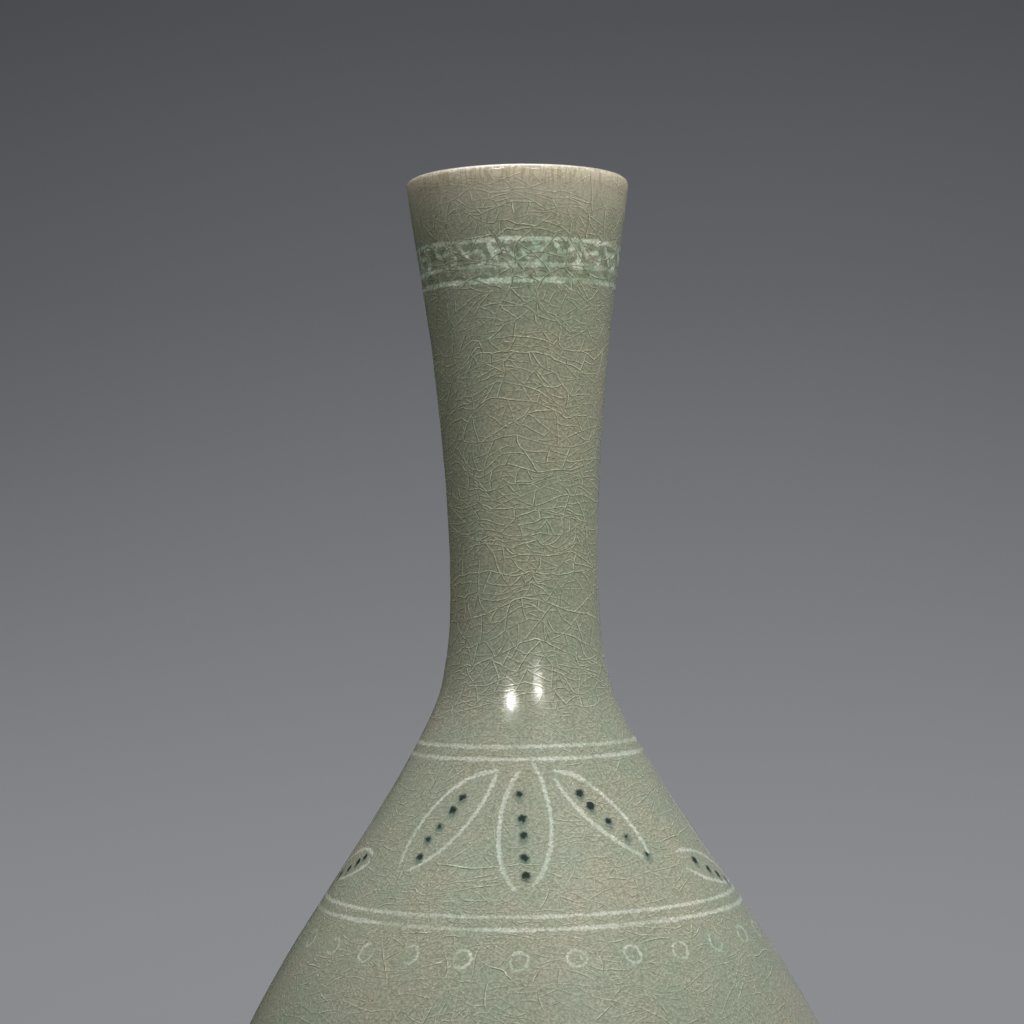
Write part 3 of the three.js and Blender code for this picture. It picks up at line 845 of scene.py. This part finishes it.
# turn from the spray's middle and height in mm: start, two handles and end of each groove. The groove
# with five points is a line through them, smoothed.
HANGING_LEAVES = {
    "middle": (
        ((-2.8, 232.9), (-11.9, 228.0), (-13.1, 214.0), (-2.8, 206.5)),
        ((2.7, 234.4), (10.2, 230.0), (11.7, 216.0), (1.3, 208.1)),
    ),
    "west": (
        ((-11.3, 232.7), (-25.5, 233.6), (-47.8, 225.6), (-43.5, 210.6)),
        ((-13.5, 232.2), (-16.8, 226.0), (-26.3, 214.5), (-39.7, 210.7)),
    ),
    "east": (
        ((11.6, 232.7), (24.7, 233.0), (43.2, 223.5), (42.0, 212.3)),
        ((12.1, 230.9), (17.2, 225.0), (28.7, 217.0), (41.8, 212.1)),
    ),
}
RISING_LEAVES = {
    "middle": (
        ((-2.6, 206.4), (-9.6, 211.5), (-10.4, 222.5), (-1.6, 229.6)),
        ((2.6, 206.2), (9.8, 211.0), (10.6, 222.0), (1.0, 230.4)),
    ),
    "west": (
        ((-34.4, 212.5), (-27.0, 214.2), (-11.0, 210.5), (-2.7, 204.3)),
        ((-33.8, 209.2), (-26.0, 206.0), (-15.0, 203.2), (-2.7, 203.4)),
    ),
    "east": (
        ((28.6, 212.2), (30.4, 211.2), (27.3, 209.6), (21.6, 207.8), (12.3, 206.0)),
        ((29.5, 212.9), (22.0, 215.6), (10.5, 212.0), (3.4, 206.8)),
    ),
}
# the turn of each spray's middle from the front, and its leaves
SPRAYS = {
    "front": (-0.7, HANGING_LEAVES),
    "right": (89, RISING_LEAVES),
    "back": (179, HANGING_LEAVES),
    "left": (-91, RISING_LEAVES),
}


def smooth_line(points, count):
    """Even points along a cubic curve, or along a smoothed line through five or more points."""
    if len(points) == 4:
        dense = bezier(points, FINE_POINTS)
    else:
        knots = np.arange(len(points))
        at = np.linspace(0, len(points) - 1, FINE_POINTS)
        dense = np.stack([np.interp(at, knots, values) for values in np.array(points, float).T], 1)
        for _ in range(SMOOTHINGS):
            dense[1:-1] = (dense[:-2] + 2 * dense[1:-1] + dense[2:]) / 4
    return recut(dense, count)


for spray_index, (spray, (spray_turn, leaves)) in enumerate(SPRAYS.items()):
    for leaf_index, (leaf, strokes) in enumerate(leaves.items()):
        rng = np.random.default_rng(LEAF_SEED + 10 * spray_index + leaf_index)
        shift = 0 if spray == "front" else rng.normal(0, SPRAY_SHIFT)
        leaf_grooves = []
        for stroke in strokes:
            line = smooth_line(stroke, LEAF_POINTS)
            turns = spray_turn + line[:, 0] + shift + wobble(rng, LEAF_POINTS, 1, *LEAF_SWAY)
            heights = line[:, 1] + wobble(rng, LEAF_POINTS, 1, *LEAF_BOB)
            halves, strengths = tapered(LEAF_POINTS, LEAF_HALF, rng, 0.08, 1.0, 0.15)
            leaf_grooves.append((turns, heights, halves, strengths, False))
        node = f"leaf_{spray}_{leaf}"
        fill_grooves("slip_" + node, leaf_grooves, white_slip, node)

# Below the belly's double line runs a row of small circles, stamped with a reed and filled with
# white slip. No two are alike: some are open, some faint, and none is quite round.
CIRCLE_SEED = 200
CIRCLE_COUNT = 27
CIRCLE_START = -2.8
CIRCLE_HEIGHT = 193.3
CIRCLE_RADIUS = 2.05
CIRCLE_HALF = 0.29
CIRCLE_POINTS = 28
CIRCLE_OVAL = 0.07
CIRCLE_DENTS = (6, 0.07)
CIRCLE_WIDTHS = (5, 0.05)
CIRCLE_WEAR = (4, 0.15)
skin_radius = float(outline(CIRCLE_HEIGHT))
skin_slant = float(slant(CIRCLE_HEIGHT))
around = np.linspace(0, math.tau, CIRCLE_POINTS, endpoint=False)
for index in range(CIRCLE_COUNT):
    rng = np.random.default_rng(CIRCLE_SEED + index)
    oval = CIRCLE_OVAL * np.cos(2 * around + rng.uniform(0, math.tau))
    radius = CIRCLE_RADIUS * (1 + oval) + wobble(rng, CIRCLE_POINTS, 1, *CIRCLE_DENTS, True)
    circle_turn = CIRCLE_START + 360 / CIRCLE_COUNT * index + rng.normal(0, 0.3)
    turns = circle_turn + np.degrees(radius * np.cos(around) / skin_radius)
    heights = CIRCLE_HEIGHT + rng.normal(0, 0.2) + radius * np.sin(around) / skin_slant
    halves = CIRCLE_HALF + wobble(rng, CIRCLE_POINTS, 1, *CIRCLE_WIDTHS, True)
    gap = 0.5 + 0.5 * np.cos(around - rng.uniform(0, math.tau))
    strengths = rng.uniform(0.7, 0.9) - rng.uniform(0.1, 0.8) * ease(gap, 0.7, 1.0)
    strengths = np.clip(strengths + wobble(rng, CIRCLE_POINTS, 1, *CIRCLE_WEAR, True), 0, 1)
    node = f"circle_{index + 1:02d}"
    fill_grooves("slip_" + node, [(turns, heights, halves, strengths, True)], white_slip, node)

# Inside each leaf is a row of dots pricked with a point and filled with iron-black slip. The glaze
# has drawn colour out of them as it melted, so that each has a blue-green shadow running down.
DOT_SEED = 300
DOT_RADIUS = 0.94
DOT_CELL = 2.15
DOT_DROP = 0.75
DOT_SPOKES = 22
DOT_BOTTOM = 0.6
DOT_SHIFT = 0.3
# from the middle of a dot's disc out: share of its radius, and mm above the skin
DOT_SECTION = ((0, 0.026), (0.25, 0.024), (0.45, 0.022), (0.62, 0.018), (0.8, 0.012), (1.0, -0.016))
BLACK_SLIP = (0.012, 0.024, 0.020, 1)
BLEED = (0.44, 0.55, 0.57, 1)
BLEED_STRENGTH = 0.95
# how fast the bleed fades below a dot and above it, and the mm over which it fades out
FADE_DOWN = 0.52
FADE_UP = 1.3
FADE_REACH = (1.9, 0.3)
# turn from the spray's middle, height and share of the full size of each dot
HANGING_DOTS = {
    "middle": (
        (-3.1, 227.8, 0.85), (-1.8, 222.5, 1), (-1.3, 218.9, 0.95), (-1.0, 214.2, 1), (-0.6, 210.4, 1.1),
    ),
    "west": (
        (-26.8, 227.0, 0.95), (-29.4, 224.2, 1.1), (-33.0, 220.5, 0.55),
        (-36.0, 217.7, 0.75), (-36.8, 213.8, 0.9),
    ),
    "east": (
        (21.9, 227.6, 1.1), (25.1, 224.7, 1.15), (30.5, 221.2, 0.85),
        (35.6, 217.5, 0.5), (41.0, 213.3, 0.5),
    ),
}
RISING_DOTS = {
    "middle": (
        (-0.9, 226.0, 0.9), (-0.2, 221.6, 1), (0.4, 217.4, 1.05), (0.1, 213.2, 1), (-0.3, 209.4, 0.9),
    ),
    "west": ((-26.3, 210.2, 1.1), (-20.2, 207.6, 1), (-14.7, 206.3, 1.1), (-9.5, 204.6, 0.8)),
    "east": ((25.3, 212.2, 0.9), (22.1, 210.6, 1.15), (17.5, 209.2, 1.1), (11.6, 207.6, 1.0)),
}
SPRAY_DOTS = {"front": HANGING_DOTS, "right": RISING_DOTS, "back": HANGING_DOTS, "left": RISING_DOTS}


def make_black_slip():
    """Iron-black slip with its blue-green bleed, over the celadon that it lies in."""
    material, tree, shader, group = glazed("black_slip")
    place = place_in_mm(tree)
    across = mark_value(tree, "across")
    down = mark_value(tree, "down")
    ragged = times(tree, less(tree, cloud(tree, place, 0.7, 3), 0.5), 1.6)
    core = less(tree, plus(tree, long_side(tree, across, down), ragged), mark_value(tree, "core"))
    black = rise(tree, core, 0.3, -0.42)
    below = times(tree, sum_up(tree, "MAXIMUM", down, 0.0), FADE_DOWN)
    above = times(tree, sum_up(tree, "MINIMUM", down, 0.0), FADE_UP)
    reach = long_side(tree, across, plus(tree, below, above))
    bled = rise(tree, plus(tree, reach, times(tree, ragged, 0.5)), *FADE_REACH)
    edge = rise(tree, mark_value(tree, "rim_share"), 1.0, 0.72)
    bled = times(tree, times(tree, bled, BLEED_STRENGTH), edge)
    colour = blend(tree, bled, group.outputs["Color"], BLEED, "MULTIPLY")
    depth = between(tree, cloud(tree, place, 0.5, 2), 0.8, 1.0)
    colour = blend(tree, times(tree, black, depth), colour, BLACK_SLIP)
    tree.links.new(colour, shader.inputs["Base Color"])
    return material


def prick_dots(name, spots, material):
    """One mesh of shallow closed discs, each set in the skin at a (turn, height, core radius)."""
    places, facing, faces, coordinates = [], [], [], []
    marks = {"across": [], "down": [], "core": [], "rim_share": []}
    around = np.linspace(0, math.tau, DOT_SPOKES, endpoint=False)
    rings = [(share * DOT_CELL, lift) for share, lift in DOT_SECTION[1:]]
    rings.append((DOT_BOTTOM * DOT_CELL, -SLIP_DEPTH))
    across = np.concatenate([[0], *[r * np.sin(around) for r, _ in rings], [0]])
    down = np.concatenate([[0], *[r * np.cos(around) for r, _ in rings], [0]]) + DOT_DROP
    lift = np.concatenate([[DOT_SECTION[0][1]], *[np.full(DOT_SPOKES, d) for _, d in rings], [-SLIP_DEPTH]])
    shares = np.concatenate([[0], *[np.full(DOT_SPOKES, r / DOT_CELL) for r, _ in rings], [1]])
    shares[-DOT_SPOKES - 1:] = 1
    count = len(across)
    spokes = [(k, (k + 1) % DOT_SPOKES) for k in range(DOT_SPOKES)]
    for index, (turn, height, core) in enumerate(spots):
        turns = turn + np.degrees(across / float(outline(height)))
        heights = height - down / float(slant(height))
        places.append(on_skin(turns, heights, lift))
        facing.append(skin_normals(turns, heights))
        for mark, values in zip(marks, (across, down, np.full(count, core), shares)):
            marks[mark].append(values)
        total = index * count
        last = total + count - 1
        base = last - DOT_SPOKES
        top = [[total, total + 1 + k, total + 1 + m] for k, m in spokes]
        bottom = [[last, base + m, base + k] for k, m in spokes]
        sides = []
        for ring in range(len(rings) - 1):
            first = total + 1 + ring * DOT_SPOKES
            second = first + DOT_SPOKES
            sides += [[first + k, second + k, second + m, first + m] for k, m in spokes]
        # in the UV map the face of each disc lies below its underside
        cell = np.array([(index + 0.5) / len(spots), 0.5])
        local = np.stack([across, down - DOT_DROP], 1) * (0.48 / len(spots) / DOT_CELL)
        under = np.array([0, 0.26])
        for shape in top + sides[:-DOT_SPOKES]:
            coordinates += [tuple(cell - under + local[v - total]) for v in shape]
        for shape in sides[-DOT_SPOKES:] + bottom:
            wide = [1.25 if v < base else 1.0 for v in shape]
            coordinates += [tuple(cell + under + 0.9 * w * local[v - total]) for v, w in zip(shape, wide)]
        faces += top + sides + bottom
    piece = inlay_piece(name, places, facing, faces, coordinates, marks, material)
    return piece


black_slip = make_black_slip()
dot_middles = []
for spray_index, (spray, leaf_dots) in enumerate(SPRAY_DOTS.items()):
    for leaf_index, (leaf, dots) in enumerate(leaf_dots.items()):
        rng = np.random.default_rng(DOT_SEED + 10 * spray_index + leaf_index)
        loose = 0 if spray == "front" else DOT_SHIFT
        spots = []
        for turn, height, share in dots:
            spot_turn = SPRAYS[spray][0] + turn + rng.normal(0, loose)
            spots.append((spot_turn, height + rng.normal(0, loose), DOT_RADIUS * share))
        piece = prick_dots(f"dots_{spray}_{leaf}", spots, black_slip)
        dot_middles += [on_skin(turn, height).tolist() for turn, height, _ in spots]
        if leaf == "middle" and spray in ("front", "back"):
            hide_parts(*[f"dot_{spray}_{i}" for i in range(1, len(dots) + 1)])

# The glaze shrank more than the clay as it cooled and crazed all over. Long level cracks came first,
# then shorter ones between them, each ending on an older crack. Their lips stand up a hair's breadth.
CRACK_STEP = 1.3
CRACK_FLATNESS = 2.2
CRACK_HALF = 0.40
CRACK_LIFT = 0.042
CRACK_SUNK = 0.012
CRACK_DIVE = 0.066
CRACK_TILT = 0.14
CRACK_CLEARANCE = 0.95
DOT_CLEARANCE = 1.7
# painted light and painted shade: the colours of the lit and the shaded side of each crack's lip
CRACK_PAINTED_LIGHT = (2.0, 2.0, 2.03, 1)
CRACK_PAINTED_SHADE = (0.36, 0.37, 0.33, 1)
# a crack's line of painted light and line of painted shade: how far from its middle, and where each begins
# and is full
CRACK_PARTING = 0.32
CRACK_LINE = (0.42, 0.05)
# how long and how strong in mm the swings are that bend all cracks, and those of the neck more
SWINGS = ((48, 2.4), (22, 1.0), (9.5, 0.4), (3.6, 0.14))
NECK_SWING = (11, 0.3)
NECK_SWING_START = (240, 290)
SWING_SEED = 11
SWING_WAVES = 10
# cracks that stand more than BOLD are less broken, and those between large cells pass over the slip
BOLD = 0.8
PASSING_CELL = 9
# of bold cracks and of fainter ones: share left out, fading at the ends, unevenness, the finest's share
BOLD_WAYS = (0.04, 0.15, 0.25, 0.4)
FAINT_WAYS = (0.1, 0.4, 0.5, 0.6)
# heights where one piece of the crackle passes into the next
SHOULDER_CRACKLE = 178
MOUTH_CRACKLE = 335
# each piece of the crackle: lowest and highest place, height of its bands and mm² of its cells,
# seed, how far the cracks stand, share of the bands with a level crack below, tilt of the cuts
CRACKLE = {
    "crackle_neck": (NECK_SEAM, MOUTH_CRACKLE, 4.2, 7, 21, 1.0, 1.0, 0.0),
    "crackle_mouth": (MOUTH_CRACKLE, MOUTH_HEIGHT - 0.8, 13, 7, 25, 0.84, 0.5, -0.35),
    "crackle_shoulder": (SHOULDER_CRACKLE, NECK_SEAM, 6, 4.2, 23, 0.5, 0.9, 0.0),
    "crackle_belly": (BODY_SEAM, SHOULDER_CRACKLE, 8, 7.5, 24, 0.42, 0.8, 0.0),
    "crackle_lower_body": (FOOT_HEIGHT + 2, BODY_SEAM, 12, 12, 25, 0.42, 0.7, 0.0),
}


def make_crazed():
    """Glaze over a crack, with painted light along one side of the crack and painted shade along the other,
    as on a raised lip lit from above.
    """
    material, tree, shader, group = glazed("crazed_glaze")
    across = mark_value(tree, "across")
    strength = mark_value(tree, "strength")
    above = sum_up(tree, "ABSOLUTE", less(tree, across, CRACK_PARTING))
    below = sum_up(tree, "ABSOLUTE", plus(tree, across, CRACK_PARTING))
    # painted light in a pale line above the crack and painted shade in a dark line below it, standing for
    # the lit and shaded sides of its raised lip
    pale = times(tree, rise(tree, above, *CRACK_LINE), sum_up(tree, "POWER", strength, 1.6))
    dark = times(tree, rise(tree, below, *CRACK_LINE), strength)
    colour = blend(tree, pale, group.outputs["Color"], CRACK_PAINTED_LIGHT, "MULTIPLY")
    colour = blend(tree, dark, colour, CRACK_PAINTED_SHADE, "MULTIPLY")
    tree.links.new(colour, shader.inputs["Base Color"])
    return material


crazed = make_crazed()
# heights and, for each, the way along the skin divided by the radius that it is passed at
SKIN_HEIGHTS = np.linspace(FOOT_HEIGHT + 1, MOUTH_HEIGHT, 4000)
skin_run = slant(SKIN_HEIGHTS) / outline(SKIN_HEIGHTS)
skin_steps = (skin_run[1:] + skin_run[:-1]) / 2 * np.diff(SKIN_HEIGHTS)
SKIN_WAY = np.concatenate([[0], np.cumsum(skin_steps)])


def height_at(way):
    """The height at a way along the skin."""
    return np.interp(way, SKIN_WAY, SKIN_HEIGHTS)


def split_cell(cell, cell_size, tilt, rng, depth, cracks):
    """Splits a cell of glaze across its longer way, again and again, down to about cell_size mm²."""
    cell = np.array(cell)
    x, y = cell[:, 0], cell[:, 1]
    area = 0.5 * abs(np.dot(x, np.roll(y, -1)) - np.dot(y, np.roll(x, -1)))
    if area < cell_size * rng.lognormvariate(0.15, 0.45) or len(cell) < 3:
        return
    middle = cell.mean(0)
    _, axes = np.linalg.eigh(np.cov((cell - middle).T))
    long_way = math.atan2(axes[1, 1], axes[0, 1])
    cut = long_way + math.pi / 2 + rng.gauss(0, 0.33) + tilt
    reach = (cell - middle) @ np.array([-math.sin(cut), math.cos(cut)])
    offset = rng.uniform(-0.28, 0.28) * (reach.max() - reach.min()) * 0.6
    side = reach - offset
    first, second, ends = [], [], []
    for i in range(len(cell)):
        j = (i + 1) % len(cell)
        (first if side[i] >= 0 else second).append(tuple(cell[i]))
        if (side[i] >= 0) != (side[j] >= 0):
            point = tuple(cell[i] + (cell[j] - cell[i]) * (side[i] / (side[i] - side[j])))
            for points in (first, second, ends):
                points.append(point)
    if len(ends) != 2:
        return
    cracks.append((ends[0], ends[1], depth, math.sqrt(area)))
    split_cell(first, cell_size, tilt, rng, depth + 1, cracks)
    split_cell(second, cell_size, tilt, rng, depth + 1, cracks)


def swing(places, size, amount, rng):
    """Two smooth values for each place, with swings about size mm long."""
    ways = rng.normal(0, 1, (3, SWING_WAVES))
    ways = ways / np.linalg.norm(ways, axis=0) * math.tau / size * rng.uniform(0.7, 1.4, SWING_WAVES)
    phase = rng.uniform(0, math.tau, (2, SWING_WAVES))
    return amount * math.sqrt(0.2) * np.stack([np.sin(places @ ways + p).sum(1) for p in phase], 1)


def craze(name, low, high, band_height, cell_size, seed, stand, level_share, tilt):
    """One piece of the crackle: every crack between two heights, as fine raised ridges in the glaze."""
    rng = random.Random(seed)
    lines = []
    height = low
    while height < high - 0.5:
        tall = min(band_height * rng.uniform(0.6, 1.5), high - height)
        if high - height - tall < 0.45 * band_height:
            tall = high - height
        way_low, way_high = np.interp([height, height + tall], SKIN_HEIGHTS, SKIN_WAY)
        radius = float(outline(height + tall / 2))
        opened = rng.uniform(0, math.tau)
        width, band = math.tau * radius, (way_high - way_low) * radius * CRACK_FLATNESS
        cracks = []
        if level_share > rng.random():
            cracks.append(((0, 0), (width, 0), 0, 30))
        pieces = max(1, round(width / band / 3))
        edges = [0] + [width * (k + rng.uniform(-0.25, 0.25)) / pieces for k in range(1, pieces)] + [width]
        slants = [0] + [rng.gauss(0, 0.5) * band for _ in range(1, pieces)]
        slants.append(slants[0])
        for k in range(pieces):
            left, right = edges[k], edges[k + 1]
            left_top = left + slants[k]
            right_top = right + slants[k + 1]
            cracks.append(((left, 0), (left_top, band), 1, 15))
            cell = [(left, 0), (right, 0), (right_top, band), (left_top, band)]
            split_cell(cell, cell_size * CRACK_FLATNESS, tilt, rng, 2, cracks)
        for start, end, depth, across in cracks:
            turn_a, turn_b = opened + start[0] / radius, opened + end[0] / radius
            way_a, way_b = (way_low + point[1] / radius / CRACK_FLATNESS for point in (start, end))
            lines.append((turn_a, way_a, turn_b, way_b, radius, depth, across))
        height += tall
    raise_ridges(name, *crack_points(lines, stand, rng))


def crack_points(lines, stand, rng):
    """Points along crack lines: turn, way, number of the crack, whether it passes over slip, strength.

    A line is (turn, way) of both ends, the radius there, how late the crack came and its cell's size.
    """
    bold = stand > BOLD
    dropped, fading, swinging, fine = BOLD_WAYS if bold else FAINT_WAYS
    turns, ways, owner, passing, strengths = [], [], [], [], []
    for turn_a, way_a, turn_b, way_b, radius, depth, cell in lines:
        if depth > 3 and rng.random() < dropped:
            continue
        length = math.hypot(turn_b - turn_a, way_b - way_a) * radius
        count = max(3, round(length / CRACK_STEP) + 1)
        run = np.linspace(0, 1, count)
        if turn_b < turn_a:
            run = run[::-1]
        strong = max(0.0, min(1.0, (cell - 2) / 6))
        fade = 1 - fading + fading * ease(np.minimum(run, 1 - run) * length, -0.4, 1.6)
        noise_rng = np.random.default_rng(rng.randrange(1 << 30))
        uneven = 0.85 + wobble(noise_rng, count, CRACK_STEP, 4.5, swinging)
        strength = stand * rng.uniform(0.65, 1.15) * (fine + (1 - fine) * strong)
        owner.append(np.full(count, len(owner)))
        turns.append(turn_a + (turn_b - turn_a) * run)
        ways.append(way_a + (way_b - way_a) * run)
        passing.append(np.full(count, bold and cell > PASSING_CELL))
        strengths.append(strength * fade * uneven)
    return [np.concatenate(values) for values in (turns, ways, owner, passing, strengths)]


def bend(turns, ways):
    """The same points, shifted along the skin by smooth swings, so that no crack runs straight."""
    heights = height_at(ways)
    radius = outline(heights)
    spots = np.stack([radius * np.sin(turns), -radius * np.cos(turns), heights], 1)
    rng = np.random.default_rng(SWING_SEED)
    shift = sum(swing(spots, size, amount, rng) for size, amount in SWINGS)
    shift += ease(heights, *NECK_SWING_START)[:, None] * swing(spots, *NECK_SWING, rng)
    inner = ease(heights, FOOT_HEIGHT + 1, FOOT_HEIGHT + 9) * (1 - ease(heights, 366, MOUTH_HEIGHT - 0.6))
    return turns + shift[:, 0] / radius, ways + shift[:, 1] / radius * inner, radius


def sink_under_slip(places, passing):
    """Which points dive under the skin: all those near a dot, and the finer cracks near white slip."""
    tree = KDTree(len(slip_middles) + len(dot_middles))
    for index, place in enumerate(slip_middles + dot_middles):
        tree.insert(place, index)
    tree.balance()
    sunk = np.zeros(len(places), bool)
    for index, place in enumerate(places):
        _, nearest, distance = tree.find(place)
        if nearest >= len(slip_middles):
            sunk[index] = distance < DOT_CLEARANCE
        else:
            sunk[index] = distance < CRACK_CLEARANCE and not passing[index]
    return sunk


def raise_ridges(name, turns, ways, owner, passing, strengths):
    """A mesh of ridges along cracks, each a low roof on the skin with a buried floor."""
    turns, ways, radius = bend(turns, ways)
    count = len(turns)
    same_next = np.append(owner[1:] == owner[:-1], False)
    same_last = np.insert(owner[1:] == owner[:-1], 0, False)
    ahead = np.arange(count) + same_next
    behind = np.arange(count) - same_last
    tangent = np.stack([turns[ahead] - turns[behind], ways[ahead] - ways[behind]], 1)
    tangent /= np.maximum(np.linalg.norm(tangent, axis=1, keepdims=True), 1e-12)
    across = np.stack([-tangent[:, 1], tangent[:, 0]], 1) * (CRACK_HALF / radius)[:, None]
    heights = height_at(ways)
    strengths = np.clip(strengths, 0, 1) * (1 - 0.5 * ease(heights, 364, 371))
    facing = skin_normals(np.degrees(turns), heights)
    dive = CRACK_DIVE * sink_under_slip(on_skin(np.degrees(turns), heights), passing)
    rows = []
    for sign in (1, 0, -1):
        row_turns = turns + sign * across[:, 0]
        row_heights = height_at(ways + sign * across[:, 1])
        lift = (CRACK_LIFT if sign == 0 else -CRACK_SUNK) - dive
        rows.append(on_skin(np.degrees(row_turns), row_heights, lift))
    aside = rows[0] - rows[2]
    aside /= np.maximum(np.linalg.norm(aside, axis=1, keepdims=True), 1e-9)
    aside = aside * (CRACK_TILT * strengths[:, None])
    normals = np.concatenate([facing + aside, facing, facing - aside])
    normals /= np.linalg.norm(normals, axis=1, keepdims=True)
    start = np.where(same_next)[0]
    quads = np.concatenate([
        np.stack([start + a * count, start + 1 + a * count, start + 1 + b * count, start + b * count], 1)
        for a, b in ((0, 1), (1, 2), (2, 0))
    ])
    first = np.where(~same_last)[0]
    last = np.where(~same_next)[0]
    ends = np.concatenate([
        np.stack([first, first + count, first + 2 * count], 1),
        np.stack([last + 2 * count, last + count, last], 1),
    ])
    places = thrown(np.concatenate(rows))
    mesh = bpy.data.meshes.new(name)
    mesh.from_pydata(places.tolist(), [], quads.tolist() + ends.tolist())
    vertex = np.concatenate([quads.ravel(), ends.ravel()])
    face = np.repeat(np.arange(len(quads) + len(ends)), [4] * len(quads) + [3] * len(ends))
    around = np.arctan2(places[vertex, 0], -places[vertex, 1]) / math.tau + 0.5
    head = np.maximum.reduceat(around, np.searchsorted(face, np.arange(face[-1] + 1)))[face]
    around = np.where(head - around > 0.5, around + 1, around)
    up = (places[vertex, 2] - places[:, 2].min()) / np.ptp(places[:, 2])
    set_map(mesh, 0.01 + 0.97 * around, 0.03 + 0.94 * up)
    set_marks(mesh, {"across": np.repeat([1.0, 0.0, -1.0], count), "strength": np.tile(strengths, 3)})
    mesh.materials.append(crazed)
    piece = placed(name, mesh)
    face_outwards(piece)
    mesh.shade_smooth()
    mesh.normals_split_custom_set_from_vertices(normals.tolist())
    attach(piece, "root")


for name, numbers in CRACKLE.items():
    craze(name, *numbers)

# The vase stands on a pale table top that sweeps up behind it into a grey backdrop, darker upwards.
# Both are one sheet of matt paper, on which the light boxes fall as well. To the camera and in
# reflections the far part glows instead, in painted light and shade: darker upwards and to the sides.
TABLE_RADIUS = 1000
SWEEP_RADIUS = 500
BACKDROP_TOP = 1700
TABLE_GREY = (0.52, 0.52, 0.51, 1)
FAR_GREY = (0.12, 0.12, 0.125, 1)
# painted shade that darkens the backdrop towards its sides
SIDE_PAINTED_SHADE = (0.77, 0.77, 0.77, 1)
SIDE_MIDDLE = 80.0
# height in mm, and the painted grey that the backdrop shows there, darker upwards as if less light reached
# it
BACKDROP_PAINTED_GREYS = (
    (0, (0.262, 0.267, 0.284)),
    (40, (0.255, 0.260, 0.277)),
    (250, (0.194, 0.199, 0.213)),
    (511, (0.124, 0.128, 0.138)),
    (756, (0.083, 0.084, 0.092)),
    (1200, (0.050, 0.051, 0.056)),
)


def make_paper():
    """Pale matt paper. To the camera and in reflections its far part glows in a painted grey, darker
    upwards and to the sides.
    """
    material, tree, shader = new_material("backdrop_paper")
    tree.nodes.remove(shader)
    x, y, height = add_node(tree, "SeparateXYZ", _0=place_in_mm(tree)).outputs
    reach = long_side(tree, x, y)
    ramp = tree.nodes.new("ShaderNodeValToRGB")
    ramp_height = BACKDROP_PAINTED_GREYS[-1][0]
    tree.links.new(sum_up(tree, "DIVIDE", height, ramp_height), ramp.inputs[0])
    while len(ramp.color_ramp.elements) < len(BACKDROP_PAINTED_GREYS):
        ramp.color_ramp.elements.new(0.5)
    for element, (at, grey) in zip(ramp.color_ramp.elements, BACKDROP_PAINTED_GREYS):
        element.position = at / ramp_height
        element.color = (*grey, 1)
    paper_grey = blend(tree, rise(tree, reach, 250, 900), TABLE_GREY, FAR_GREY)
    matt = add_node(tree, "BsdfDiffuse", Color=paper_grey).outputs[0]
    # painted shade: the glowing grey is darkened away from the middle, more so higher up
    aside = sum_up(tree, "ABSOLUTE", less(tree, x, SIDE_MIDDLE))
    upward = between(tree, height, 0.3, 1.0, 100, 400)
    fall = times(tree, rise(tree, aside, 100, 800), upward)
    faded = blend(tree, fall, ramp.outputs["Color"], SIDE_PAINTED_SHADE, "MULTIPLY")
    shown = add_node(tree, "Emission", Color=faded).outputs[0]
    rays = add_node(tree, "LightPath").outputs
    mirrored = sum_up(tree, "MAXIMUM", rays["Is Glossy Ray"], rays["Is Transmission Ray"])
    seen = sum_up(tree, "MAXIMUM", rays["Is Camera Ray"], mirrored)
    share = times(tree, seen, rise(tree, reach, 300, 850))
    mixed = add_node(tree, "MixShader", _0=share, _1=matt, _2=shown).outputs[0]
    tree.links.new(mixed, tree.nodes["Material Output"].inputs["Surface"])
    return material


wall_radius = TABLE_RADIUS + SWEEP_RADIUS
paper_line = np.concatenate([
    even([(0, 0), (TABLE_RADIUS, 0)], 100),
    arc((TABLE_RADIUS, SWEEP_RADIUS), SWEEP_RADIUS, -90, 0, 24)[1:],
    even([(wall_radius, SWEEP_RADIUS), (wall_radius, BACKDROP_TOP)], 200)[1:],
])
paper_edges = [(i, i + 1) for i in range(len(paper_line) - 1)]
backdrop = spun("table_and_backdrop", paper_line, paper_edges, 128)
bpy.ops.object.shade_smooth()
backdrop.data.materials.append(make_paper())

# A black board behind the left of the vase, out of the picture, keeps that edge of it dark.
BOARD_ENDS = (-95, -168)
BOARD_REACH = 0.6
BOARD_FOOT = 0.01
BOARD_HEIGHT = 0.8
BOARD_BLACK = (0.02, 0.02, 0.02, 1)
west, north = (
    (BOARD_REACH * math.sin(turn), -BOARD_REACH * math.cos(turn)) for turn in map(math.radians, BOARD_ENDS)
)
board_corners = [(*west, BOARD_FOOT), (*north, BOARD_FOOT), (*north, BOARD_HEIGHT), (*west, BOARD_HEIGHT)]
board = placed("black_board", bpy.data.meshes.new("black_board"))
board.data.from_pydata(board_corners, [], [(0, 1, 2, 3)])
board.visible_camera = False
board.visible_shadow = False
black_card, _, card_shader = new_material("black_card")
card_shader.inputs["Base Color"].default_value = BOARD_BLACK
card_shader.inputs["Roughness"].default_value = 0.9
board.data.materials.append(black_card)
